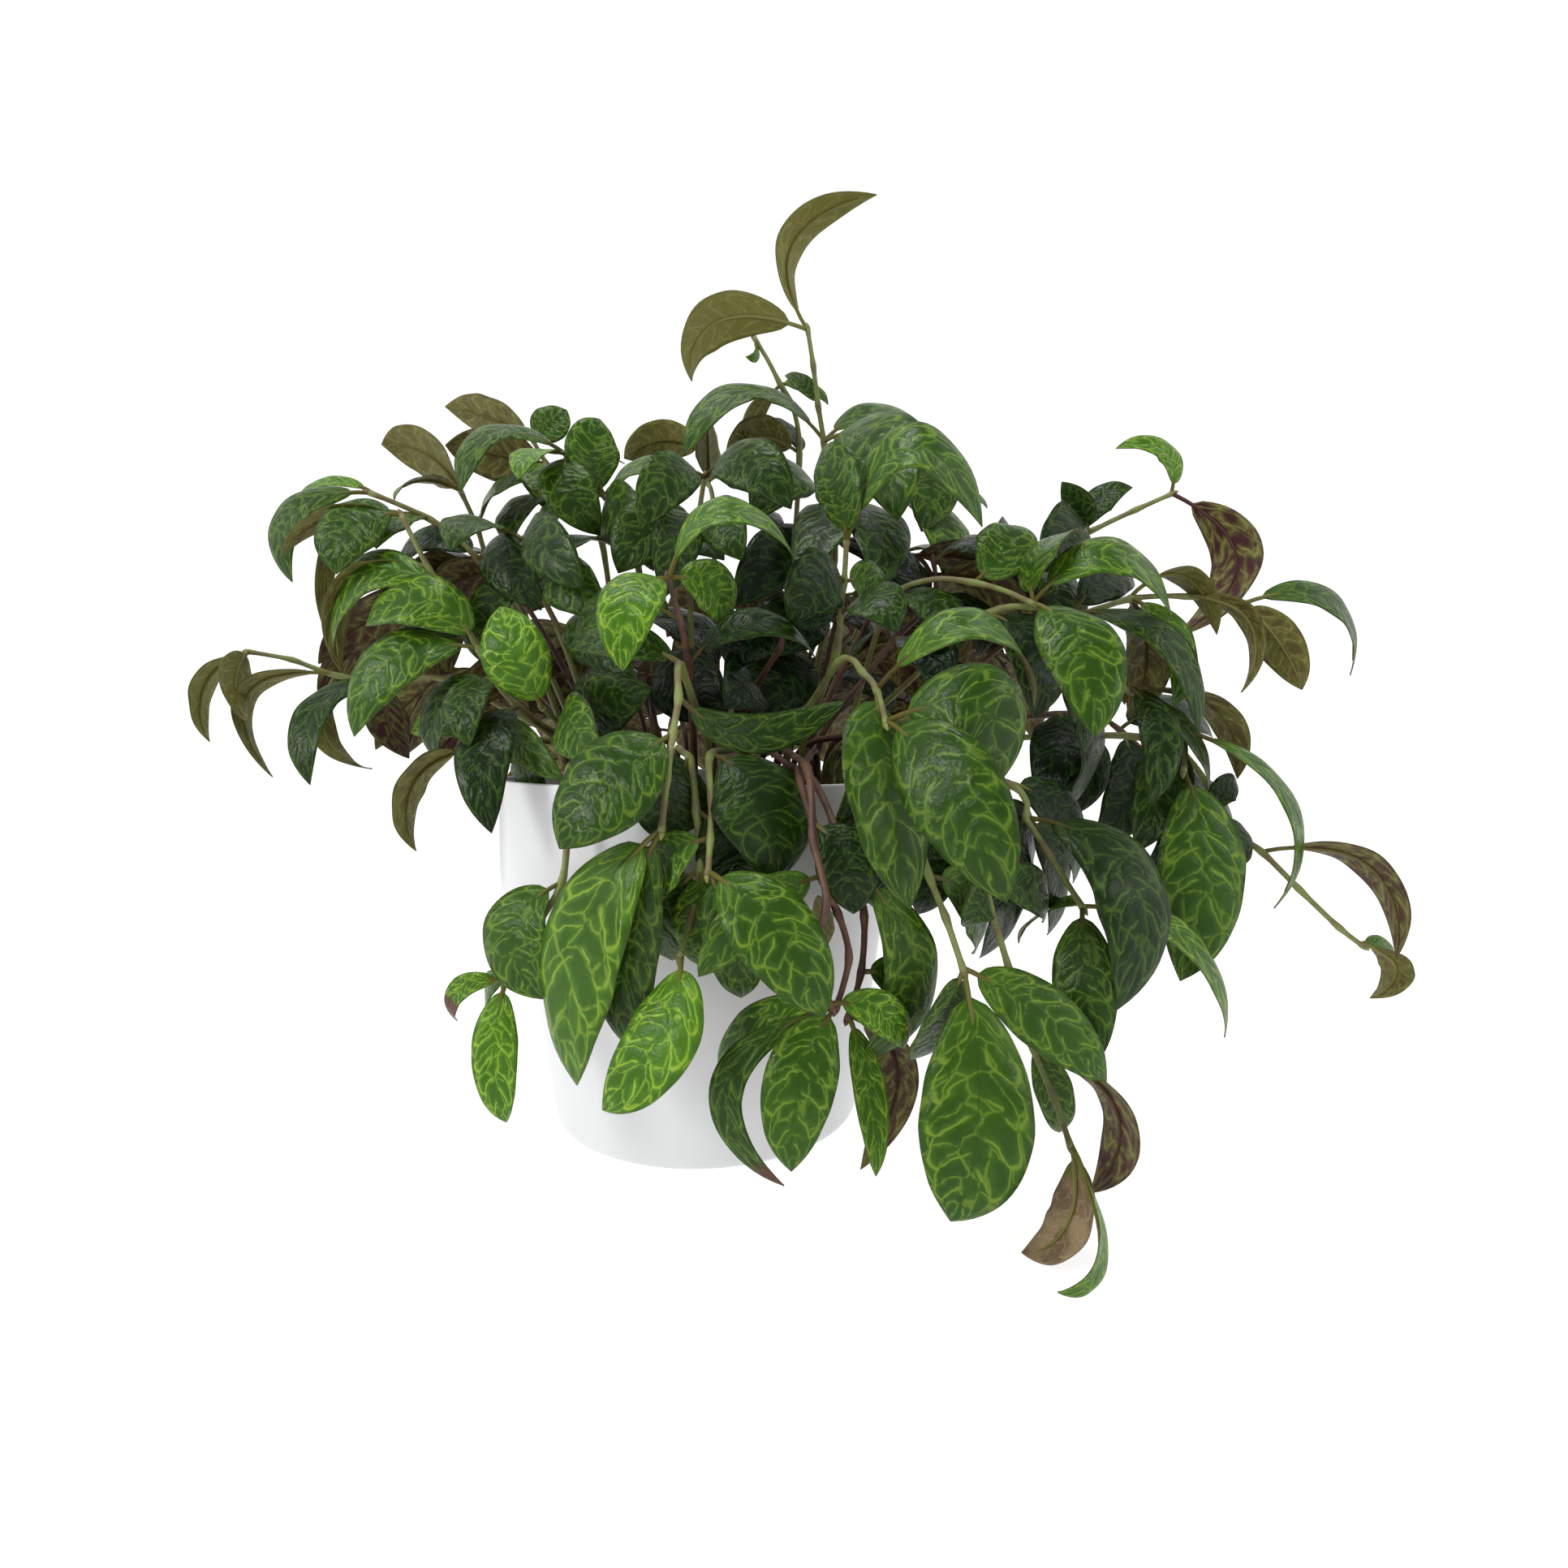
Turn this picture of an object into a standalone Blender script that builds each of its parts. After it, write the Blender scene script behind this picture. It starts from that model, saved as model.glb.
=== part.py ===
"""Potted lipstick vine: a white plastic pot, its soil, and leafy stems.

Millimetres throughout, turned into metres where a mesh is made. The origin
is the middle of the pot's base, +Z is up and -Y is the front.

A spot on the plant is (across, down, depth): where it stands in the square
reference picture, and how far behind the pot's axis it lies in millimetres.
"""
import itertools
import math
import random
from dataclasses import dataclass, replace

import bmesh
import bpy
from mathutils import Matrix, Vector
from mathutils.bvhtree import BVHTree

MM = 0.001
GAP = 0.3

# The pot
POT_HEIGHT = 139.0
RIM_RADIUS = 83.5
COLLAR_FOOT = 99.0
COLLAR_ROUND = 6.0
BODY_TOP_RADIUS = 75.5
BASE_RADIUS = 62.5
BASE_ROUND = 4.0
POT_WALL = 2.0
POT_FLOOR = 3.0
POT_SIDES = 36

# The soil
SOIL_EDGE = 126.0
SOIL_CROWN = 4.0
SOIL_SIDES = 20
HOLE_DEPTH = 9.0
HOLE_SIDES = 4
ROOT_REACH = 58.0
ROOT_SPACING = 7.0

# The eye that the spots are seen from
EYE = Vector((32.5, -357.6, 154.3))
EYE_PITCH = math.radians(3.0)
PICTURE_MIDDLE = 966.0
PICTURE_FOCAL = 1046.0

# Stems and leaves
STEM_THICK = 1.45
STEM_THIN = 1.0
STEM_SIDES = 3
STEM_STEPS = 2
STEM_RISE = 18.0
STEM_CLEAR = 0.5
NODE_STAGGER = Vector((0.07, 0.05, 0.19))
END_SINK = 0.8
PETIOLE = 0.1
PETIOLE_HALF = 0.7
LEAF_OUTWARD = 0.6
BLADE_THICK = 1.0
KEEL_FOLD = 0.35
TEST_SWELL = 1.0
FLOOR_CLEAR = 0.8
BACK_SEED = 11
BACK_STEMS = 13

# Corners closer than this are one corner, the first that leaves a closed body
WELDS = (0.0002, 0.002, 0.01)

# How far along the leaf each ring of a blade stands, from root to tip
BLADE_STATIONS = (0.0, 0.34, 0.78)
# The blade's outline: half of its width at the widest, where that is, and how blunt it is
BLADE_HALF = 0.54
BLADE_MIDDLE = 0.94
BLADE_BLUNT = 0.61


@dataclass(frozen=True)
class Leaf:
    """One leaf: the stem node it grows from, its tip, and how it bends."""

    node: int
    tip: tuple
    width: float
    arch: float
    lean: float = 0.0
    roll: float = 40.0
    fold: float = 12.0
    peak: float = 0.42


@dataclass(frozen=True)
class Stem:
    """One leafy stem: the spots it passes, and its leaves."""

    name: str
    spots: tuple
    leaves: tuple
    bark: str = "green"


def place(spot):
    """The point in millimetres that a spot of the picture stands for."""
    across, down, depth = spot
    right = (across - PICTURE_MIDDLE) / PICTURE_FOCAL
    up = (PICTURE_MIDDLE - down) / PICTURE_FOCAL
    level = up * math.sin(EYE_PITCH) + math.cos(EYE_PITCH)
    rise = up * math.cos(EYE_PITCH) - math.sin(EYE_PITCH)
    reach = (depth - EYE.y) / level
    return Vector((EYE.x + right * reach, depth, EYE.z + rise * reach))


# Leaf(node, tip, width, arch, lean, roll, fold, peak)
FRONT_STEMS = (
    Stem("stem_tall", ((1028, 690, 22), (1020, 620, 22), (1015, 545, 20), (1008, 500, 18),
                       (1002, 450, 16), (995, 405, 15)), (
        Leaf(5, (1080, 234, 5), 18, 24, 80, -15, 14, 0.42),
        Leaf(5, (846, 471, -15), 19, 16, 10, -60, 14, 0.72),
        Leaf(2, (840, 556, 0), 23, 27, 15, 55, 12, 0.34),
        Leaf(2, (1104, 638, -35), 31, 16, 20, 60, 5),
        Leaf(2, (1182, 566, 40), 20, 17, 0),
        Leaf(3, (966, 457, 25), 8, 2, -40),
        Leaf(1, (930, 640, -10), 24, 14, 10),
        Leaf(1, (982, 712, -30), 25, 10),
        Leaf(1, (1085, 722, -30), 26, 12),
        Leaf(0, (905, 745, -25), 26, 12, 0))),
    Stem("stem_shoot", ((985, 560, 45), (962, 475, 40), (929, 416, 38)), (
        Leaf(2, (923, 443, 36), 7, 3, 60),
        Leaf(1, (1023, 494, 45), 9, 4, 0, 80),
        Leaf(1, (920, 548, 30), 9, 8, 0, 0),
        Leaf(0, (944, 512, 50), 14, 4, 0, 60),
        Leaf(0, (890, 575, 30), 20, 12, 0, -30))),
    Stem("stem_joint", ((1030, 805, -50), (1035, 760, -50), (1040, 718, -50), (1043, 666, -48)), (
        Leaf(3, (1006, 552, -38), 21, 8, -40, 55, 5),
        Leaf(3, (1217, 646, -60), 26, 29, 5, 30, 12, 0.5),
        Leaf(1, (1105, 775, -70), 20, 8, 0),
        Leaf(2, (975, 770, -66), 22, 10),
        Leaf(2, (1078, 748, -46), 20, 5))),
    Stem("stem_fore", ((1034, 815, -60), (1062, 828, -72), (1080, 850, -88), (1092, 893, -100)), (
        Leaf(2, (1283, 866, -72), 20, 25, 0, 8, 15),
        Leaf(3, (1225, 982, -98), 27, 22, 15, 40, 8),
        Leaf(3, (1240, 1115, -128), 27, 10, 25, 35, 6),
        Leaf(2, (1128, 1121, -112), 29, 10, 45, 45, 6))),
    Stem("stem_middle", ((848, 820, -72), (838, 765, -76), (823, 712, -74)), (
        Leaf(2, (766, 826, -100), 19, 10, 15, 30, 8),
        Leaf(2, (984, 680, -70), 18, 19, 0, 10),
        Leaf(2, (896, 780, -60), 20, 8, 0),
        Leaf(1, (700, 788, -50), 17, 10, 0),
        Leaf(0, (1012, 808, -58), 16, 14, 0, 10)), "brown"),
    Stem("stem_drape", ((838, 820, -86), (836, 860, -94), (829, 905, -100), (822, 960, -103),
                        (815, 1025, -106)), (
        Leaf(2, (684, 1045, -112), 29, 4, 0, 20, 6),
        Leaf(1, (1042, 862, -76), 13, -13, 0, 50, 8),
        Leaf(0, (695, 795, -74), 12, 5, 0),
        Leaf(4, (704, 1342, -102), 31, 12, 45, 45, 6),
        Leaf(4, (778, 1300, -98), 21, 8, 30, 40, 8))),
    Stem("stem_drape_2", ((876, 930, -84), (877, 985, -94), (875, 1035, -100), (872, 1078, -104)), (
        Leaf(3, (1020, 1256, -118), 24, 9, 5, 20, 6),
        Leaf(2, (800, 1130, -96), 20, 8, 20, 20, 8),
        Leaf(3, (912, 1236, -94), 18, 5, 0),
        Leaf(0, (952, 1090, -100), 32, 9, -45, 45, 4))),
    Stem("stem_drape_3", ((850, 935, -80), (858, 1000, -90), (862, 1070, -94), (852, 1130, -98),
                          (838, 1180, -104)), (
        Leaf(4, (736, 1370, -116), 22, 10, -65, 60, 8),
        Leaf(2, (868, 1200, -90), 20, 6, 0, 20),
        Leaf(0, (824, 1040, -88), 27, 6, 0),
        Leaf(2, (822, 1195, -84), 18, 7),
        Leaf(1, (905, 1095, -80), 22, 8))),
    Stem("stem_russet", ((985, 952, -86), (1002, 1015, -94), (1012, 1080, -99), (1032, 1125, -100),
                         (1046, 1180, -101), (1030, 1243, -102)), (
        Leaf(5, (965, 1469, -104), 10, 27, 72, 60, 10, 0.5),
        Leaf(5, (975, 1449, -117), 21, 8, 40, 40, 6),
        Leaf(5, (880, 1340, -90), 12, 12, 10, 20, 10),
        Leaf(2, (863, 1196, -100), 15, 8, 0),
        Leaf(1, (1046, 1112, -74), 18, 6)), "brown"),
    Stem("stem_russet_2", ((1000, 950, -80), (1030, 1010, -90), (1055, 1062, -97), (1066, 1120, -97),
                           (1062, 1190, -98), (1045, 1248, -96)), (
        Leaf(2, (1068, 1338, -112), 21, 17, -50, 50, 8, 0.55),
        Leaf(5, (1082, 1453, -104), 10, 3, -20),
        Leaf(5, (1060, 1438, -82), 13, 16, -60, -60, 8),
        Leaf(4, (1128, 1245, -84), 14, 6, 0),
        Leaf(1, (1085, 1125, -80), 24, 9)), "brown"),
    Stem("stem_twig", ((1016, 945, -82), (1024, 1030, -92), (1040, 1105, -95), (1020, 1170, -96),
                       (1046, 1226, -94)), (
        Leaf(2, (1000, 1180, -80), 11, 5, 0),
        Leaf(4, (1108, 1262, -78), 12, 7, 0)), "brown"),
    Stem("stem_left_low", ((703, 945, -74), (699, 1015, -86), (692, 1088, -86), (655, 1150, -88),
                           (622, 1212, -86)), (
        Leaf(2, (665, 1235, -96), 23, 12, 50, 55, 8),
        Leaf(4, (555, 1262, -88), 8, 8, 0, 30, 15, 0.5),
        Leaf(4, (622, 1389, -92), 14, 6, -8, 20, 8),
        Leaf(4, (600, 1245, -70), 10, 4, 0))),
    Stem("stem_big_leaf", ((1095, 942, -66), (1122, 1005, -84), (1145, 1080, -96), (1165, 1130, -100),
                           (1188, 1198, -104)), (
        Leaf(4, (1172, 1511, -120), 32, 7, -25, 50, 6, 0.64),
        Leaf(4, (1370, 1334, -104), 19, 4, 5, 40, 8),
        Leaf(4, (1124, 1306, -90), 17, 5, 0),
        Leaf(2, (1210, 1183, -78), 20, 8, 0),
        Leaf(0, (1035, 1065, -76), 22, 9),
        Leaf(1, (1134, 1132, -80), 18, 6))),
    Stem("stem_floor", ((1135, 938, -58), (1185, 1010, -76), (1215, 1100, -90), (1245, 1200, -88),
                        (1270, 1285, -84), (1298, 1352, -92), (1320, 1415, -102)), (
        Leaf(4, (1357, 1480, -92), 18, 19, 10, -50, 8),
        Leaf(6, (1308, 1602, -136), 9, 10, -60, 15, 15, 0.75),
        Leaf(6, (1262, 1550, -114), 16, 8, -60, -60, 6, 0.6),
        Leaf(4, (1309, 1402, -74), 12, 3, 40, 40),
        Leaf(2, (1178, 1135, -80), 14, 6, 0),
        Leaf(2, (1293, 1138, -75), 16, 8, 0))),
    Stem("stem_right_fall", ((1240, 965, -62), (1265, 1008, -70), (1292, 1052, -76), (1335, 1120, -80)), (
        Leaf(1, (1383, 1248, -96), 28, 21, -5, 35, 6),
        Leaf(3, (1360, 1334, -104), 19, 5, 70, 5, 6),
        Leaf(3, (1258, 1165, -66), 14, 5, 0),
        Leaf(3, (1518, 1280, -60), 11, 15, 0),
        Leaf(0, (1330, 1090, -50), 22, 9),
        Leaf(1, (1298, 1142, -58), 18, 6))),
    Stem("stem_right_bow", ((1100, 736, -30), (1200, 718, -38), (1275, 745, -52)), (
        Leaf(2, (1352, 906, -86), 26, 9, 10, 35, 6),
        Leaf(2, (1452, 762, -48), 20, 20, 0, 35, 8),
        Leaf(2, (1335, 648, -46), 22, 8, -75, 15),
        Leaf(1, (1246, 640, -25), 22, 7, 30),
        Leaf(0, (1180, 805, -44), 20, 8))),
    Stem("stem_right_long", ((1215, 757, -40), (1320, 758, -35), (1392, 738, -30), (1460, 735, -20),
                             (1532, 745, -10)), (
        Leaf(4, (1672, 832, 5), 15, 20, 0, 50, 12, 0.6),
        Leaf(4, (1606, 850, -20), 16, 3, 0, -60, 6),
        Leaf(2, (1503, 778, -15), 14, 15, 0, -20, 12, 0.3),
        Leaf(2, (1452, 870, -48), 16, 9, 0, 40),
        Leaf(3, (1536, 856, -30), 12, 15, 0, -20),
        Leaf(1, (1475, 900, -50), 18, 15, 0, 40, 8),
        Leaf(0, (1274, 884, -50), 25, 10),
        Leaf(1, (1398, 708, 0), 20, 10),
        Leaf(2, (1396, 885, -10), 27, 8, 0, 5),
        Leaf(2, (1425, 860, 5), 26, 8, -20))),
    Stem("stem_right_shoot", ((1250, 700, 25), (1340, 656, 25), (1400, 628, 22), (1445, 608, 20)), (
        Leaf(3, (1376, 547, 25), 14, 12, 0, 60, 12),
        Leaf(3, (1462, 787, -5), 22, 25, 0, -45, 8, 0.5),
        Leaf(1, (1308, 596, 15), 12, 2, -60, 75),
        Leaf(1, (1396, 596, 25), 14, 6, 0, 75),
        Leaf(0, (1225, 690, -10), 22, 10, 0),
        Leaf(0, (1400, 690, 0), 22, 9, 0),
        Leaf(1, (1285, 705, 0), 24, 10),
        Leaf(0, (1300, 790, 0), 26, 12))),
    Stem("stem_right_side", ((1290, 840, -48), (1390, 850, -42), (1455, 900, -40), (1458, 952, -48)), (
        Leaf(3, (1466, 1216, -70), 30, 7, 2, 50, 5),
        Leaf(2, (1578, 1123, -45), 13, 21, 0, 35, 12, 0.55),
        Leaf(1, (1420, 990, -70), 14, 8, 0),
        Leaf(1, (1529, 957, -22), 16, 14, 0, -20, 12, 0.55),
        Leaf(0, (1368, 1025, -84), 27, 15, 0, 35, 6),
        Leaf(1, (1497, 972, -45), 16, 6, 0, 30))),
    Stem("stem_far_right", ((1420, 910, -20), (1500, 1005, -22), (1555, 1050, -24), (1600, 1095, -26),
                            (1650, 1143, -28), (1680, 1166, -30)), (
        Leaf(2, (1727, 1182, -40), 18, 21, -5, -15, 12, 0.5),
        Leaf(5, (1692, 1236, -34), 15, 12, -20, -10, 12),
        Leaf(5, (1724, 1182, -25), 7, 3, 0),
        Leaf(1, (1527, 1072, -30), 13, 4, 0),
        Leaf(0, (1400, 1048, -50), 20, 9, 0),
        Leaf(1, (1530, 962, -22), 12, 6, 0, 60))),
    Stem("stem_left_front", ((640, 872, -50), (610, 838, -50), (590, 800, -48), (553, 735, -42),
                             (528, 700, -40), (494, 634, -36)), (
        Leaf(2, (430, 907, -60), 22, 13, 0, 50, 6),
        Leaf(3, (402, 800, -30), 19, 19, 0, 45, 8),
        Leaf(1, (575, 918, -78), 16, 8, 0, 20, 8),
        Leaf(1, (530, 938, -50), 17, 9, 0),
        Leaf(2, (443, 768, -44), 22, 14, 0, 40, 8),
        Leaf(5, (410, 705, -48), 23, 8, 0, 65, 6),
        Leaf(5, (345, 678, -30), 12, 7, 0, -20),
        Leaf(4, (416, 828, -20), 14, 18, 0, -20),
        Leaf(0, (604, 1026, -86), 18, 11, 0, 30, 6))),
    Stem("stem_left_upper", ((640, 760, -10), (590, 690, -14), (530, 640, -16), (455, 607, -18)), (
        Leaf(3, (344, 714, -30), 17, 16, 0, 55, 8, 0.55),
        Leaf(3, (357, 618, -5), 6, 6, 0),
        Leaf(2, (399, 784, 0), 10, 22, 0, -20),
        Leaf(2, (460, 670, -40), 18, 5, 0),
        Leaf(1, (664, 752, -36), 20, 10, 0),
        Leaf(1, (480, 700, -10), 18, 10, 0))),
    Stem("stem_far_left", ((560, 840, 5), (480, 838, 10), (414, 832, 12), (360, 813, 14),
                           (305, 803, 16)), (
        Leaf(4, (252, 916, 10), 14, 11, 0, -8, 12),
        Leaf(4, (299, 894, -8), 15, 5, 0, -75, 8),
        Leaf(2, (330, 961, 0), 13, 26, 0, -15),
        Leaf(2, (457, 954, 0), 14, 17, 80, 0, 12, 0.3),
        Leaf(1, (377, 966, -25), 17, 15, 0, 45),
        Leaf(1, (499, 938, -5), 24, 5, 0, -75))),
    Stem("stem_pale_left", ((640, 905, -30), (600, 908, -40), (575, 926, -48)), (
        Leaf(2, (505, 1050, -60), 17, 11, 0, -40, 12),
        Leaf(1, (690, 962, -72), 14, 7, 0),
        Leaf(0, (662, 992, -60), 18, 8, 0),
        Leaf(1, (500, 900, -20), 14, 6, 0))),
    Stem("stem_oval", ((720, 905, -40), (690, 890, -52), (668, 872, -60)), (
        Leaf(2, (612, 742, -62), 22, 9, 0, 0, 5),
        Leaf(1, (738, 945, -84), 20, 8, 0),
        Leaf(0, (800, 850, -70), 22, 7, 40))),
    Stem("stem_crown_left", ((785, 690, 10), (745, 612, 8), (697, 560, 6)), (
        Leaf(2, (563, 602, -12), 20, 19, 0, 50, 8),
        Leaf(2, (637, 584, -30), 14, 6, 0),
        Leaf(1, (854, 588, 0), 18, 9, 0),
        Leaf(1, (741, 512, 10), 22, 6, 60, 60),
        Leaf(0, (700, 672, -20), 20, 8, 0),
        Leaf(0, (890, 674, -20), 23, 8, 0),
        Leaf(1, (668, 668, 0), 24, 9),
        Leaf(1, (800, 700, -10), 24, 9),
        Leaf(2, (744, 662, 0), 21, 9))),
    Stem("stem_crown_back", ((740, 660, 30), (700, 610, 34), (674, 572, 38), (656, 542, 40)), (
        Leaf(2, (550, 548, 30), 22, 0, 0, -45, 5),
        Leaf(3, (553, 500, 60), 19, 2, 0, -60),
        Leaf(3, (698, 502, 45), 17, 0, 60),
        Leaf(2, (700, 640, 20), 20, 9, 0),
        Leaf(1, (770, 565, 55), 20, 9, 0),
        Leaf(1, (625, 668, 0), 20, 9, 0))),
    Stem("stem_crown_mid", ((850, 700, -10), (860, 640, -14), (868, 588, -16)), (
        Leaf(2, (975, 625, -40), 22, 12, 0, 40, 6),
        Leaf(2, (790, 650, -46), 19, 10, 0),
        Leaf(1, (820, 735, -50), 18, 8, 0),
        Leaf(1, (912, 690, -34), 19, 8, 0),
        Leaf(1, (760, 705, -30), 24, 8))),
    Stem("stem_crown_top", ((880, 640, 40), (872, 595, 50), (866, 558, 55)), (
        Leaf(2, (766, 566, 50), 18, 11, 0, -40),
        Leaf(1, (870, 512, 45), 20, 3, 0, 60),
        Leaf(1, (926, 598, 20), 20, 7, 0),
        Leaf(0, (800, 700, 20), 24, 10),
        Leaf(0, (950, 660, 20), 24, 10))),
    Stem("stem_shade_mid", ((930, 850, -50), (960, 800, -58), (965, 770, -60)), (
        Leaf(2, (893, 806, -78), 17, 6, 0),
        Leaf(0, (900, 870, -80), 22, 6, 0),
        Leaf(2, (1000, 705, -50), 20, 6, 60))),
    Stem("stem_shade_right", ((1100, 790, -20), (1150, 740, -20), (1150, 690, -18)), (
        Leaf(2, (1240, 690, -45), 21, 9, 0),
        Leaf(1, (1230, 800, -50), 20, 8, 0),
        Leaf(0, (1160, 850, -60), 20, 8, 0),
        Leaf(1, (1030, 660, 0), 22, 4, 0))),
    Stem("stem_shade_low", ((1150, 900, -60), (1190, 950, -74), (1210, 1010, -80)), (
        Leaf(2, (1213, 1186, -66), 22, 9, 0),
        Leaf(2, (1290, 1090, -70), 19, 8, 0),
        Leaf(1, (1140, 1060, -84), 20, 8, 0))),
    Stem("stem_shade_side", ((1300, 880, 0), (1380, 900, 0), (1440, 960, -4)), (
        Leaf(2, (1410, 1180, -20), 20, 10, 0),
        Leaf(2, (1520, 1045, 0), 18, 9, 0),
        Leaf(1, (1500, 905, 8), 22, 9, 0),
        Leaf(0, (1330, 1010, -30), 22, 9, 0),
        Leaf(1, (1350, 1045, -10), 24, 9),
        Leaf(0, (1275, 985, -30), 24, 10),
        Leaf(2, (1415, 1075, -10), 22, 9))),
    Stem("stem_crown_right", ((1090, 690, 40), (1100, 620, 48), (1110, 570, 52)), (
        Leaf(2, (1180, 548, 40), 16, 8, 0),
        Leaf(2, (1060, 560, 70), 17, 8, 0),
        Leaf(1, (1220, 620, 35), 20, 10, 0),
        Leaf(0, (1190, 700, 20), 22, 9, 0),
        Leaf(1, (1165, 705, 10), 26, 12),
        Leaf(2, (1135, 655, 20), 26, 10))),
    Stem("stem_crown_low", ((640, 745, 10), (605, 700, 12), (588, 650, 12), (568, 606, 12)), (
        Leaf(3, (474, 545, 20), 24, 6, 0, -55, 5),
        Leaf(2, (640, 588, 0), 18, 5, 0, 40),
        Leaf(3, (480, 610, -8), 13, 7, 0, 20),
        Leaf(1, (520, 720, -10), 20, 10, 0),
        Leaf(0, (545, 700, 0), 22, 12, 0))),
    Stem("stem_left_mid", ((690, 780, -20), (660, 720, -24), (640, 665, -26)), (
        Leaf(2, (560, 690, -50), 20, 9, 0),
        Leaf(2, (716, 740, -54), 20, 9, 0),
        Leaf(1, (740, 760, -50), 20, 8, 0),
        Leaf(1, (579, 812, -36), 22, 9, 0),
        Leaf(0, (780, 840, -54), 18, 8, 0))),
    Stem("stem_shade_deep", ((1000, 905, 5), (1015, 830, 10), (1030, 765, 14)), (
        Leaf(2, (918, 812, -14), 28, 8, 0),
        Leaf(2, (1128, 806, -8), 28, 8, 0),
        Leaf(1, (908, 890, -16), 28, 8, 0),
        Leaf(1, (1112, 885, -14), 28, 8, 0))),
    Stem("stem_shade_left", ((812, 905, 0), (800, 835, 5), (790, 765, 8)), (
        Leaf(2, (712, 806, -12), 28, 8, 0),
        Leaf(2, (884, 812, -12), 28, 8, 0),
        Leaf(1, (708, 888, -14), 28, 8, 0),
        Leaf(1, (894, 895, -14), 28, 8, 0))),
)


# The far side's stems, in tiers of (reach, top, end height) in turn
BACK_TIERS = ((96.0, 232.0, 214.0), (150.0, 190.0, 78.0), (128.0, 206.0, 150.0))
BACK_NODES = 3
# The two sides hang less far: their end height over how far round they stand
BACK_SIDE_END = 222.0


def back_stems():
    """The stems that the picture hides, spread round the pot's far side."""
    rng = random.Random(BACK_SEED)
    stems = []
    for k in range(BACK_STEMS):
        turn = math.radians(-4.0 + 188.0 * (k + 0.5) / BACK_STEMS)
        reach, top, low = (value + rng.uniform(-9, 9) for value in BACK_TIERS[k % 3])
        out = Vector((math.cos(turn), math.sin(turn), 0.0))
        end = max(low, BACK_SIDE_END * abs(out.x))
        route = [out * reach * part + Vector((0, 0, height)) for part, height in
                 ((0.6, 0.4 * top + 90.0), (0.88, 0.7 * top + 0.3 * end), (1.0, end))]
        leaves = []
        for node in range(BACK_NODES):
            for side in (-1, 1):
                swing = turn + side * math.radians(rng.uniform(30, 80))
                length = rng.uniform(56, 80)
                drop = rng.uniform(6, 30) + 8 * node
                aim = Vector((math.cos(swing), math.sin(swing), 0)) * length * 0.8
                leaves.append(Leaf(node, route[node] + aim - Vector((0, 0, drop)),
                                   rng.uniform(19, 26), rng.uniform(9, 16), 0,
                                   -rng.uniform(15, 45), 8))
        stems.append(Stem(f"stem_back_{k + 1:02d}", tuple(route), tuple(leaves)))
    return stems


def smooth(points, steps):
    """Points along a rounded curve through the given ones."""
    ends = [2 * points[0] - points[1], *points, 2 * points[-1] - points[-2]]
    curve = []
    for a, b, c, d in zip(ends, ends[1:], ends[2:], ends[3:]):
        for k in range(steps):
            t = k / steps
            curve.append(0.5 * ((2 * b) + (c - a) * t + (2 * a - 5 * b + 4 * c - d) * t * t
                                + (3 * b - a - 3 * c + d) * t ** 3))
    curve.append(points[-1].copy())
    return curve


def tube(points, start_radius, end_radius, sides=STEM_SIDES):
    """Corners and faces of a closed tube that tapers along its points."""
    corners = []
    across = Vector((1, 0.13, 0.07))
    last = len(points) - 1
    for k, point in enumerate(points):
        ahead = (points[min(k + 1, last)] - points[max(k - 1, 0)]).normalized()
        across = (across - across.dot(ahead) * ahead).normalized()
        beside = ahead.cross(across)
        radius = start_radius + (end_radius - start_radius) * k / last
        for side in range(sides):
            turn = math.tau * side / sides
            corners.append(point + radius * (math.cos(turn) * across + math.sin(turn) * beside))
    faces = [tuple(reversed(range(sides))), tuple(range(last * sides, (last + 1) * sides))]
    for k in range(last):
        for side in range(sides):
            a, b = k * sides + side, k * sides + (side + 1) % sides
            faces += [(a, b, b + sides), (a, b + sides, a + sides)]
    return corners, faces


def half_width(leaf, t):
    """Half the blade's width at t, from 0 at the stem to 1 at the tip."""
    if t < PETIOLE:
        return PETIOLE_HALF
    s = (t - PETIOLE) / (1 - PETIOLE)
    swell = math.sin(math.pi * s ** BLADE_MIDDLE) ** BLADE_BLUNT
    return max(PETIOLE_HALF, BLADE_HALF * leaf.width * swell)


class Midrib:
    """The arched line that a leaf grows along, with its side and face directions."""

    def __init__(self, leaf, base, tip):
        chord = tip - base
        ahead = chord.normalized()
        outward = Vector((base.x, base.y, 0)).normalized()
        lift = Vector((0, 0, 1)) + LEAF_OUTWARD * outward
        lift = (lift - lift.dot(ahead) * ahead).normalized()
        lift = Matrix.Rotation(math.radians(leaf.lean), 3, ahead) @ lift
        self.leaf, self.base, self.tip = leaf, base, tip
        self.bend = base + chord * leaf.peak + 2 * leaf.arch * lift
        self.plane = ahead.cross(lift)
        self.turn = math.radians(leaf.roll) * (1 if self.plane.y < 0 else -1)

    def at(self, t):
        """The point at t, the side direction there and the way the blade faces."""
        point = (1 - t) ** 2 * self.base + 2 * t * (1 - t) * self.bend + t * t * self.tip
        ahead = ((1 - t) * (self.bend - self.base) + t * (self.tip - self.bend)).normalized()
        face = self.plane.cross(ahead)
        roll = Matrix.Rotation(self.turn, 3, ahead)
        return point, roll @ self.plane, roll @ face


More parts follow.
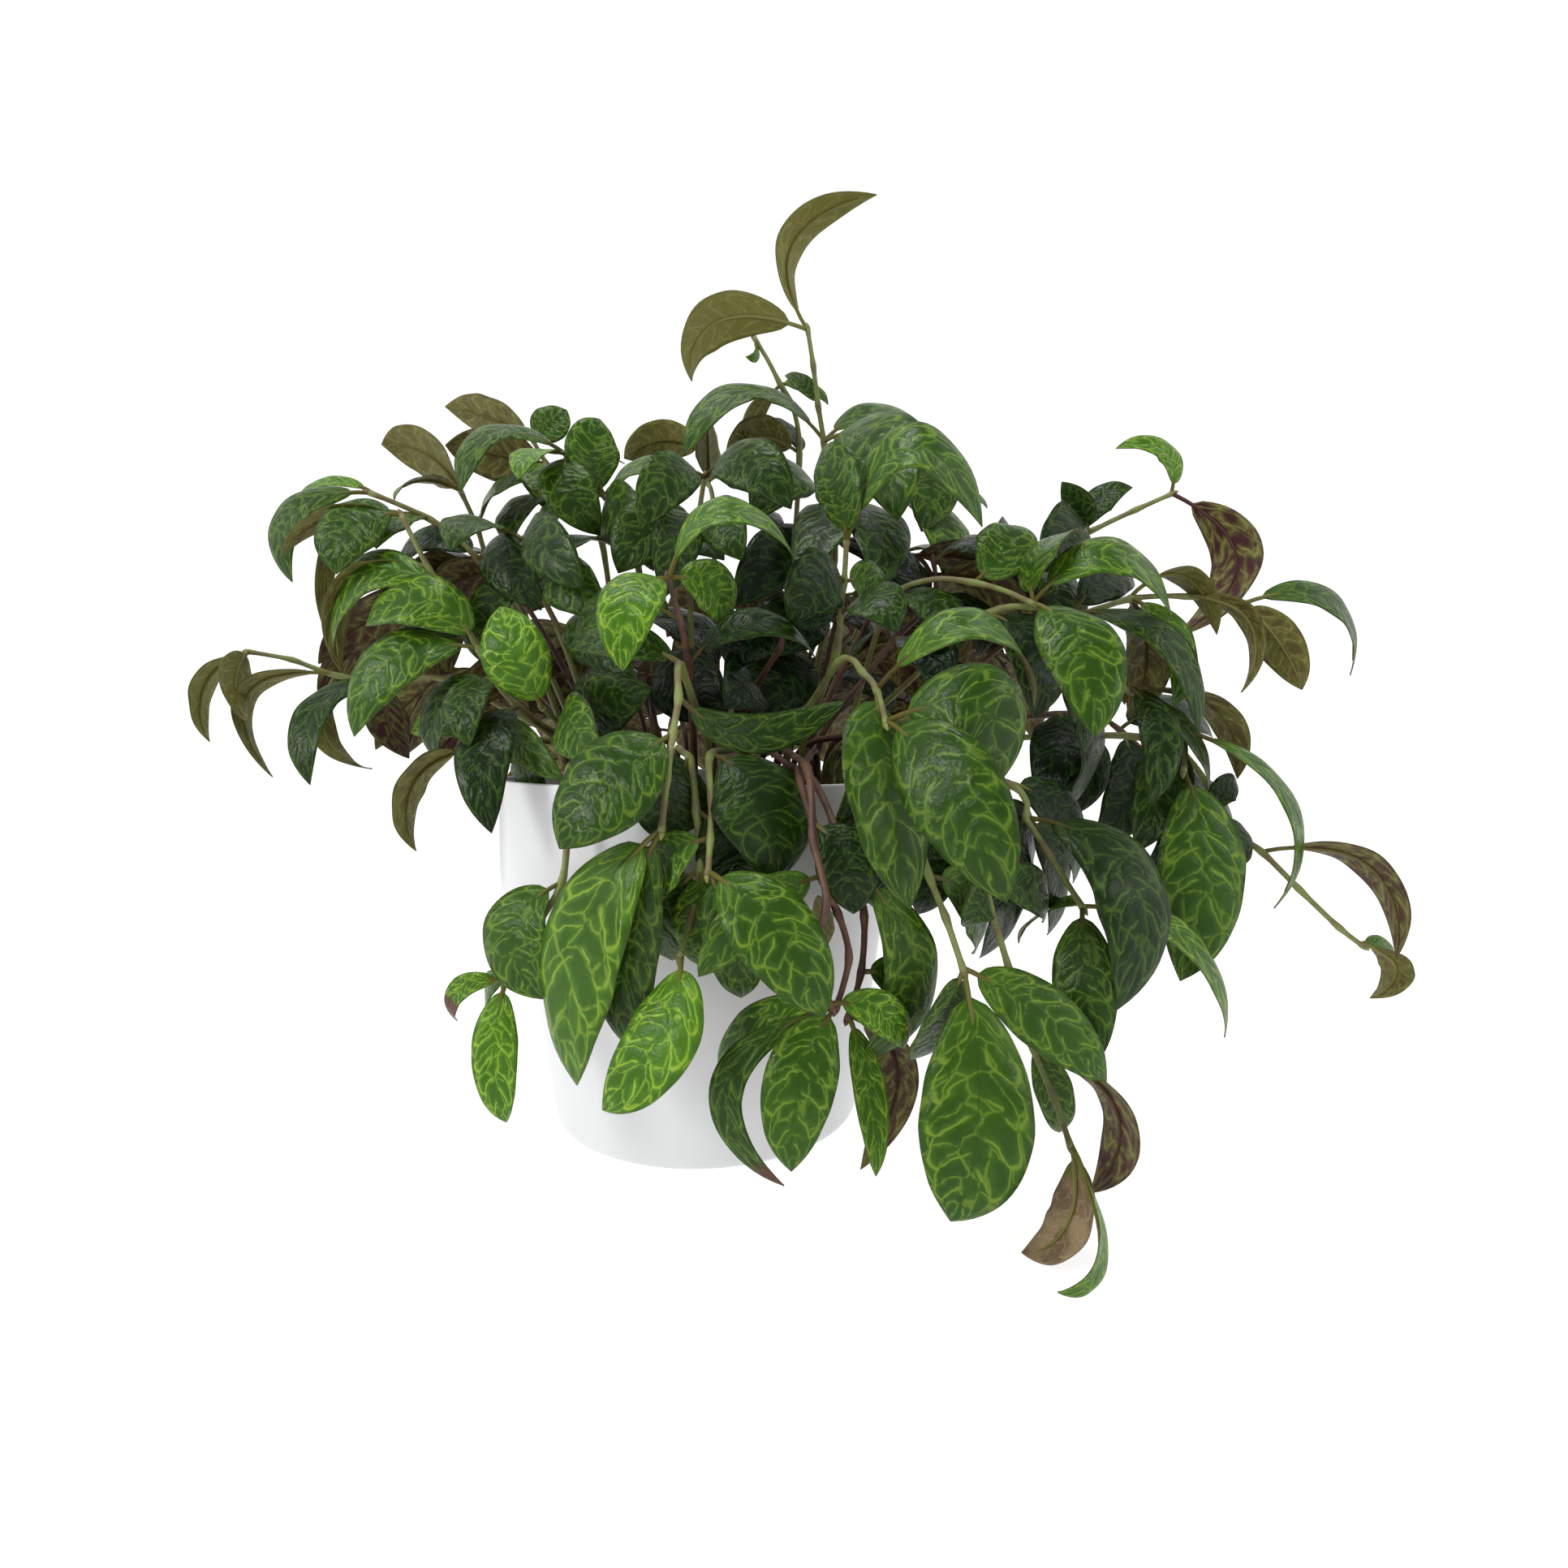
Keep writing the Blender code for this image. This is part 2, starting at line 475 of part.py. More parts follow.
def blade(midrib, swell=0.0, first=0):
    """Corners and faces of one closed blade: a left edge, a keel and a right edge."""
    leaf = midrib.leaf
    fold = math.radians(leaf.fold)
    corners = []
    for t in BLADE_STATIONS[first:]:
        point, side, face = midrib.at(t)
        half = half_width(leaf, t) + swell * 0.5
        rise = (KEEL_FOLD * half * math.sin(fold) + swell * 0.5) * face
        keel = BLADE_THICK + swell
        corners += [point - half * math.cos(fold) * side + rise, point - keel * face,
                    point + half * math.cos(fold) * side + rise]
    corners.append(midrib.at(1.0)[0])
    rings = len(BLADE_STATIONS) - first
    faces = [(0, 1, 2)]
    for ring in range(rings - 1):
        for k in range(3):
            a, b = ring * 3 + k, ring * 3 + (k + 1) % 3
            faces += [(a, b + 3, b), (a, a + 3, b + 3)]
    end = rings * 3
    faces += [(end - 3 + (k + 1) % 3, end - 3 + k, end) for k in range(3)]
    return corners, faces


def tree_of(shape):
    """A search tree over a shape, to test what crosses it."""
    return BVHTree.FromPolygons(*shape)


def root_places(stems):
    """Where each stem leaves the soil: under its first node, well apart."""
    taken = []
    for stem in stems:
        start = stem.spots[0]
        heading = math.atan2(start.y, start.x)
        reach = min(ROOT_REACH, 0.75 * math.hypot(start.x, start.y))
        for shrink, swing in ((s, w) for s in (1, 0.86, 0.72, 0.58, 0.44, 0.3, 0.16)
                              for w in (0, 7, -7, 14, -14, 21, -21, 28, -28)):
            angle = heading + math.radians(swing)
            spot = Vector((math.cos(angle), math.sin(angle), 0)) * reach * shrink
            if all((spot - other).length >= ROOT_SPACING for other in taken):
                taken.append(spot)
                break
        else:
            raise ValueError(f"no room for {stem.name}")
    return taken


def soil_height(spot):
    """Height of the soil's low mound at a spot."""
    inner = RIM_RADIUS - POT_WALL - GAP
    return SOIL_EDGE + SOIL_CROWN * (1 - (math.hypot(spot.x, spot.y) / inner) ** 2)


# How far a leaf's tip may be moved so that it is clear, nearest first
NUDGES = [Vector((0, dy, dz)) for dz in (0, 4, -4, 9, -9, 16)
          for dy in (0, 5, -5, 10, -10, 16, -16, 24, -24, 34, -34, 46)]
NUDGES.sort(key=lambda move: abs(move.y) + 1.6 * abs(move.z))
SHORTER = (1.0, 0.86, 0.72)

# How far a whole stem may step aside so that it crosses no other, nearest first
SIDESTEPS = [Vector((dx, dy, dz)) for dx in (0, 3, -3, 6, -6) for dy in (0, 3, -3, 7, -7, 12, -12)
             for dz in (0, 3, -3, 6)]
SIDESTEPS.sort(key=lambda move: 2 * abs(move.x) + abs(move.y) + 2 * abs(move.z))


class Plant:
    """All the stems and leaves, each one clear of what other stems carry."""

    def __init__(self, stems, solids):
        self.stems = stems
        self.solids = [tree_of(shape) for shape in solids]
        self.routes = []
        self.tubes = []
        self.leaves = [[] for _ in stems]
        self.lay_stems()
        self.lay_leaves()

    def lay_stems(self):
        """Run each stem from its hole through its nodes, stepped aside where one is in the way."""
        trees = []
        for stem, root in zip(self.stems, root_places(self.stems)):
            for shift in SIDESTEPS:
                route = self.route(root, [spot + shift for spot in stem.spots])
                swollen = tree_of(tube(route, STEM_THICK + STEM_CLEAR, STEM_THIN + STEM_CLEAR))
                if not any(swollen.overlap(tree) for tree in trees):
                    break
            self.routes.append(route)
            self.tubes.append(tube(route, STEM_THICK, STEM_THIN))
            trees.append(tree_of(self.tubes[-1]))

    def route(self, root, spots):
        """A stem's line: up out of its hole, then smoothly through its nodes."""
        foot = root + Vector((0, 0, soil_height(root) - HOLE_DEPTH + 2 * GAP))
        neck = foot + Vector((0, 0, HOLE_DEPTH + 2.0))
        rise = foot + Vector((0, 0, HOLE_DEPTH + STEM_RISE)) + 0.12 * (spots[0] - foot)
        return [foot, neck, *smooth([rise, *spots], STEM_STEPS)]

    def node_point(self, index, node):
        """The point of a stem where its leaves of one node grow, short of the stem's very end."""
        route = self.routes[index]
        spot = 2 + (node + 1) * STEM_STEPS
        if spot < len(route) - 1:
            return route[spot]
        return route[spot] + END_SINK * (route[spot - 1] - route[spot]).normalized()

    def lay_leaves(self):
        """Place the leaves in order, each with the least nudge that clears it."""
        trees = [tree_of(shape) for shape in self.tubes]
        grown = list(self.solids)
        for index, stem in enumerate(self.stems):
            others = grown + [tree for k, tree in enumerate(trees) if k != index]
            siblings = []
            for leaf in stem.leaves:
                midrib = self.clear_midrib(index, leaf, others, siblings)
                if midrib is not None:
                    self.leaves[index].append(midrib)
                    siblings.append(tree_of(blade(midrib, 0.0, 1)))
            grown += [tree_of(blade(midrib)) for midrib in self.leaves[index]]

    def clear_midrib(self, index, leaf, others, siblings):
        """The first midrib near the wished one whose blade crosses nothing."""
        stagger = NODE_STAGGER * (1 + len(siblings) % 3)
        base = self.node_point(index, leaf.node) + stagger
        tip = leaf.tip if isinstance(leaf.tip, Vector) else place(leaf.tip)
        for shorten, nudge in ((short, move) for short in SHORTER for move in NUDGES):
            midrib = Midrib(leaf, base, base + (tip + nudge - base) * shorten)
            whole = blade(midrib, TEST_SWELL)
            if min(corner.z for corner in whole[0]) < FLOOR_CLEAR:
                continue
            swollen = tree_of(whole)
            if any(swollen.overlap(tree) for tree in others):
                continue
            outer = tree_of(blade(midrib, TEST_SWELL, 2))
            if any(outer.overlap(tree) for tree in siblings):
                continue
            return midrib
        return None


def material(name, colour, roughness):
    """A plain material with a colour and a roughness."""
    made = bpy.data.materials.new(name)
    made.use_nodes = True
    shader = made.node_tree.nodes["Principled BSDF"]
    shader.inputs["Base Color"].default_value = (*colour, 1.0)
    shader.inputs["Roughness"].default_value = roughness
    return made


def mesh_object(name, shape, look=None):
    """An object made from corners in millimetres and faces."""
    corners, faces = shape
    mesh = bpy.data.meshes.new(name)
    mesh.from_pydata([corner * MM for corner in corners], [], faces)
    mesh.validate()
    made = bpy.data.objects.new(name, mesh)
    bpy.context.scene.collection.objects.link(made)
    if look is not None:
        mesh.materials.append(look)
    return made


def turned(profile, sides):
    """Corners and faces of a profile of (radius, height) turned round the axis."""
    corners = []
    rings = []
    for radius, height in profile:
        if radius == 0:
            rings.append([len(corners)] * sides)
            corners.append(Vector((0, 0, height)))
            continue
        rings.append([len(corners) + k for k in range(sides)])
        corners += [Vector((radius * math.cos(math.tau * k / sides),
                            radius * math.sin(math.tau * k / sides), height)) for k in range(sides)]
    faces = []
    for low, high in zip(rings, rings[1:]):
        for k in range(sides):
            after = (k + 1) % sides
            face = [low[k], low[after], high[after], high[k]]
            faces.append(tuple(dict.fromkeys(face)))
    return corners, faces


def pot_profile():
    """The pot's wall from the middle of its base, up outside and down inside."""
    collar = RIM_RADIUS - COLLAR_ROUND * 0.9
    inner_rim = RIM_RADIUS - POT_WALL
    return [(0, 0), (BASE_RADIUS - BASE_ROUND, 0), (BASE_RADIUS, BASE_ROUND),
            (BODY_TOP_RADIUS, COLLAR_FOOT - COLLAR_ROUND), (collar, COLLAR_FOOT - COLLAR_ROUND),
            (RIM_RADIUS, COLLAR_FOOT), (RIM_RADIUS, POT_HEIGHT), (inner_rim, POT_HEIGHT),
            (inner_rim, COLLAR_FOOT), (BODY_TOP_RADIUS - POT_WALL, COLLAR_FOOT - COLLAR_ROUND),
            (BASE_RADIUS - POT_WALL, POT_FLOOR), (0, POT_FLOOR)]


def soil_profile():
    """The soil's side, a gap inside the pot's wall, and its low mound."""
    inner = RIM_RADIUS - POT_WALL - GAP
    mound = [(inner * part, SOIL_EDGE + SOIL_CROWN * (1 - part * part)) for part in (1.0, 0.75, 0.4)]
    return [(0, POT_FLOOR + GAP), (BASE_RADIUS - POT_WALL - GAP, POT_FLOOR + GAP),
            (BODY_TOP_RADIUS - POT_WALL - GAP, COLLAR_FOOT - COLLAR_ROUND),
            (inner, COLLAR_FOOT), *mound, (0, SOIL_EDGE + SOIL_CROWN)]


def largest_body(mesh, weld, method):
    """Drop loose scraps and the skins of sealed hollows; say whether the body is closed."""
    work = bmesh.new()
    work.from_mesh(mesh)
    bmesh.ops.remove_doubles(work, verts=work.verts, dist=weld * MM)
    bmesh.ops.triangulate(work, faces=work.faces, ngon_method=method)
    seen, bodies = set(), []
    for seed in work.verts:
        if seed in seen:
            continue
        body, front = {seed}, [seed]
        while front:
            for edge in front.pop().link_edges:
                fresh = [vert for vert in edge.verts if vert not in body]
                body.update(fresh)
                front += fresh
        seen |= body
        bodies.append(body)
    keep = max(bodies, key=len)
    bmesh.ops.delete(work, geom=[vert for vert in work.verts if vert not in keep], context="VERTS")
    closed = all(len(edge.link_faces) == 2 for edge in work.edges)
    work.to_mesh(mesh)
    work.free()
    mesh.update()
    return closed


def combine(base, pieces, operation):
    """Join pieces to a base object, or cut them from it, in one Boolean."""
    group = bpy.data.collections.new(f"{base.name}_pieces")
    bpy.context.scene.collection.children.link(group)
    for piece in pieces:
        bpy.context.scene.collection.objects.unlink(piece)
        group.objects.link(piece)
    cut = base.modifiers.new("pieces", "BOOLEAN")
    cut.operation = operation
    cut.operand_type = "COLLECTION"
    cut.collection = group
    tries = itertools.product(("EXACT", "MANIFOLD"), WELDS, ("BEAUTY", "EAR_CLIP"))
    for cut.solver, weld, method in tries:
        bpy.context.view_layer.update()
        evaluated = base.evaluated_get(bpy.context.evaluated_depsgraph_get())
        result = bpy.data.meshes.new_from_object(evaluated)
        if largest_body(result, weld, method):
            break
    base.modifiers.clear()
    base.data = result
    for piece in list(group.objects):
        bpy.data.objects.remove(piece)
    bpy.data.collections.remove(group)


def build_pot():
    """The white pot, its collar standing out over a tapered body."""
    look = material("pot_white", (0.86, 0.87, 0.88), 0.4)
    made = mesh_object("pot", turned(pot_profile(), POT_SIDES), look)
    made.data.shade_smooth()
    made.data.set_sharp_from_angle(angle=math.radians(35))


def build_soil(roots):
    """The soil, with a plain hole for each stem."""
    look = material("soil_dark", (0.03, 0.02, 0.015), 0.95)
    made = mesh_object("soil", turned(soil_profile(), SOIL_SIDES), look)
    holes = []
    for k, root in enumerate(roots):
        low = root + Vector((0, 0, soil_height(root) - HOLE_DEPTH))
        high = low + Vector((0, 0, HOLE_DEPTH + 3))
        radius = (STEM_THICK + GAP) / math.cos(math.pi / HOLE_SIDES) + 0.05
        holes.append(mesh_object(f"hole_{k}", tube([low, high], radius, radius, HOLE_SIDES)))
    combine(made, holes, "DIFFERENCE")


def build_stem(plant, index, looks):
    """One leafy stem as a single body."""
    stem = plant.stems[index]
    made = mesh_object(stem.name, plant.tubes[index], looks[stem.bark])
    blades = [mesh_object(f"{stem.name}_leaf_{k}", blade(midrib))
              for k, midrib in enumerate(plant.leaves[index])]
    combine(made, blades, "UNION")


def placed(stem):
    """The same stem with its spots turned into points."""
    spots = tuple(spot if isinstance(spot, Vector) else place(spot) for spot in stem.spots)
    return replace(stem, spots=spots)


def main():
    """Clear the scene and build the pot, the soil and every leafy stem."""
    for old in list(bpy.data.objects):
        bpy.data.objects.remove(old)
    stems = [placed(stem) for stem in (*FRONT_STEMS, *back_stems())]
    plant = Plant(stems, [turned(pot_profile(), POT_SIDES), turned(soil_profile(), SOIL_SIDES)])
    looks = {"green": material("leaf_green", (0.06, 0.16, 0.04), 0.4),
             "brown": material("leaf_dark_green", (0.05, 0.12, 0.04), 0.4)}
    build_pot()
    build_soil(root_places(stems))
    for index in range(len(stems)):
        build_stem(plant, index, looks)
    return plant


PLANT = main()
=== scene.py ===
"""Potted lipstick vine: the finished look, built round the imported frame.

Lengths are millimetres inside the classes and become metres where a mesh is
made. The frame's origin is the middle of the pot's base, +Z is up and -Y is
the front. A spot on the plant is (across, down, depth): where it stands in
the 1932-pixel reference picture, and how far behind the pot's axis it lies.
"""
import logging
import math
import random
from dataclasses import dataclass, replace
from enum import Enum
from typing import Sequence

import bmesh
import bpy
from mathutils import Matrix, Vector, noise
from mathutils.bvhtree import BVHTree

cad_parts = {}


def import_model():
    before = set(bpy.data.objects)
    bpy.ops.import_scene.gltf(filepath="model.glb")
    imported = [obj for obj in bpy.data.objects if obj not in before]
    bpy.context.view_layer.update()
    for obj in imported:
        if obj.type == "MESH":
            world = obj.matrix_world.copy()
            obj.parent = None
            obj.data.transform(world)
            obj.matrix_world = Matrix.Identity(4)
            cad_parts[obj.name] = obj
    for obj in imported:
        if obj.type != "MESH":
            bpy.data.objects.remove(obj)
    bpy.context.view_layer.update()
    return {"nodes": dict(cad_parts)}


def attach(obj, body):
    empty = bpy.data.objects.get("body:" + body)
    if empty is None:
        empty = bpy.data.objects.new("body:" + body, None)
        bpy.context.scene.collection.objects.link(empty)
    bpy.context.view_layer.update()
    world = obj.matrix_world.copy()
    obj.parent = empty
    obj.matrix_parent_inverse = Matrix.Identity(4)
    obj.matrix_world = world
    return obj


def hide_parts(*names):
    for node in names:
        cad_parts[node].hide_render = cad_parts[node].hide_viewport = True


LOG = logging.getLogger("lipstick_vine")

MM = 0.001
GAP = 0.3

# The pot
POT_HEIGHT = 139.0
RIM_RADIUS = 83.5
COLLAR_FOOT = 99.0
COLLAR_ROUND = 6.0
BODY_TOP_RADIUS = 75.5
BASE_RADIUS = 62.5
BASE_ROUND = 4.0
POT_WALL = 2.0
POT_FLOOR = 3.0
COARSE_POT_SIDES = 36

# The soil
SOIL_EDGE = 126.0
SOIL_CROWN = 4.0
COARSE_SOIL_SIDES = 20
HOLE_DEPTH = 9.0

# Where a stem's root goes: this share of the way out to its first node, and no further than this
ROOT_INWARD = 0.75
ROOT_REACH = 58.0
ROOT_SPACING = 7.0
# Where there is no room, it goes inwards and is swung round, least first
ROOT_SHRINKS = (1, 0.86, 0.72, 0.58, 0.44, 0.3, 0.16)
ROOT_SWINGS = (0, 7, -7, 14, -14, 21, -21, 28, -28)

# The eye that the spots are seen from
EYE = Vector((32.5, -357.6, 154.3))
EYE_PITCH = math.radians(3.0)
PICTURE_SIZE = 1932.0
PICTURE_MIDDLE = 966.0
PICTURE_FOCAL = 1046.0

# Stems, as the frame's solids have them
STEM_THICK = 1.45
STEM_THIN = 1.0
STEM_SIDES = 3
STEM_STEPS = 2
STEM_CLEAR = 0.5
# The foot and the neck come first in a stem's line, then its smoothed nodes
LOW_POINTS = 2
NECK_RISE = 2.0
STEM_RISE = 18.0
STEM_LEAN = 0.12
# The side that the first corner of a round rod turns to
FIRST_SIDE = Vector((1, 0.13, 0.07))

# Leaves, as the frame's solids have them
# Those of one stem start a little off its line, in turns, and short of its end
NODE_STAGGER = Vector((0.07, 0.05, 0.19))
STAGGER_TURNS = 3
END_SINK = 0.8
PETIOLE = 0.1
PETIOLE_HALF = 0.7
LEAF_OUTWARD = 0.6
BLADE_THICK = 1.0
KEEL_FOLD = 0.35
TEST_SWELL = 1.0
FLOOR_CLEAR = 0.8
# How far along the leaf each ring of a blade stands, from root to tip
BLADE_STATIONS = (0.0, 0.34, 0.78)
# The blade's outline: half of its width at the widest, where that is, and how blunt it is
BLADE_HALF = 0.54
BLADE_MIDDLE = 0.94
BLADE_BLUNT = 0.61

# A blade's own map and its leaf's own numbers: seed, tone, stain and how dry it is
CHART_LAYER = "leaf"
CODE_LAYER = "leaf_code"

Colour = tuple[float, float, float]
Shape = tuple[list[Vector], list[tuple[int, ...]]]
Socket = bpy.types.NodeSocket
Feed = Socket | float | tuple[float, ...]


@dataclass(frozen=True)
class Leaf:
    """One leaf: the stem node it grows from, its tip, and how it bends.

    Attributes:
        node: The node's place on its stem, from 0.
        tip: The spot or the point of its tip.
        width: How wide the blade is, in millimetres.
        arch: How far its midrib arches, in millimetres.
        lean: How far the arch leans aside, in degrees.
        roll: How far the blade rolls towards the eye, in degrees.
        fold: How far its halves fold up, in degrees.
        peak: Where along the leaf the arch is highest.
    """

    node: int
    tip: tuple[float, float, float] | Vector
    width: float
    arch: float
    lean: float = 0.0
    roll: float = 40.0
    fold: float = 12.0
    peak: float = 0.42


@dataclass(frozen=True)
class Stem:
    """One leafy stem: the spots it passes, and its leaves."""

    name: str
    spots: tuple
    leaves: tuple[Leaf, ...]
    bark: str = "green"


def place(spot: tuple[float, float, float]) -> Vector:
    """Turn a spot of the picture into the point that it stands for.

    Args:
        spot: Across and down in the picture, and the depth in millimetres.

    Returns:
        The point in millimetres.
    """
    across, down, depth = spot
    right = (across - PICTURE_MIDDLE) / PICTURE_FOCAL
    up = (PICTURE_MIDDLE - down) / PICTURE_FOCAL
    level = up * math.sin(EYE_PITCH) + math.cos(EYE_PITCH)
    rise = up * math.cos(EYE_PITCH) - math.sin(EYE_PITCH)
    reach = (depth - EYE.y) / level
    return Vector((EYE.x + right * reach, depth, EYE.z + rise * reach))


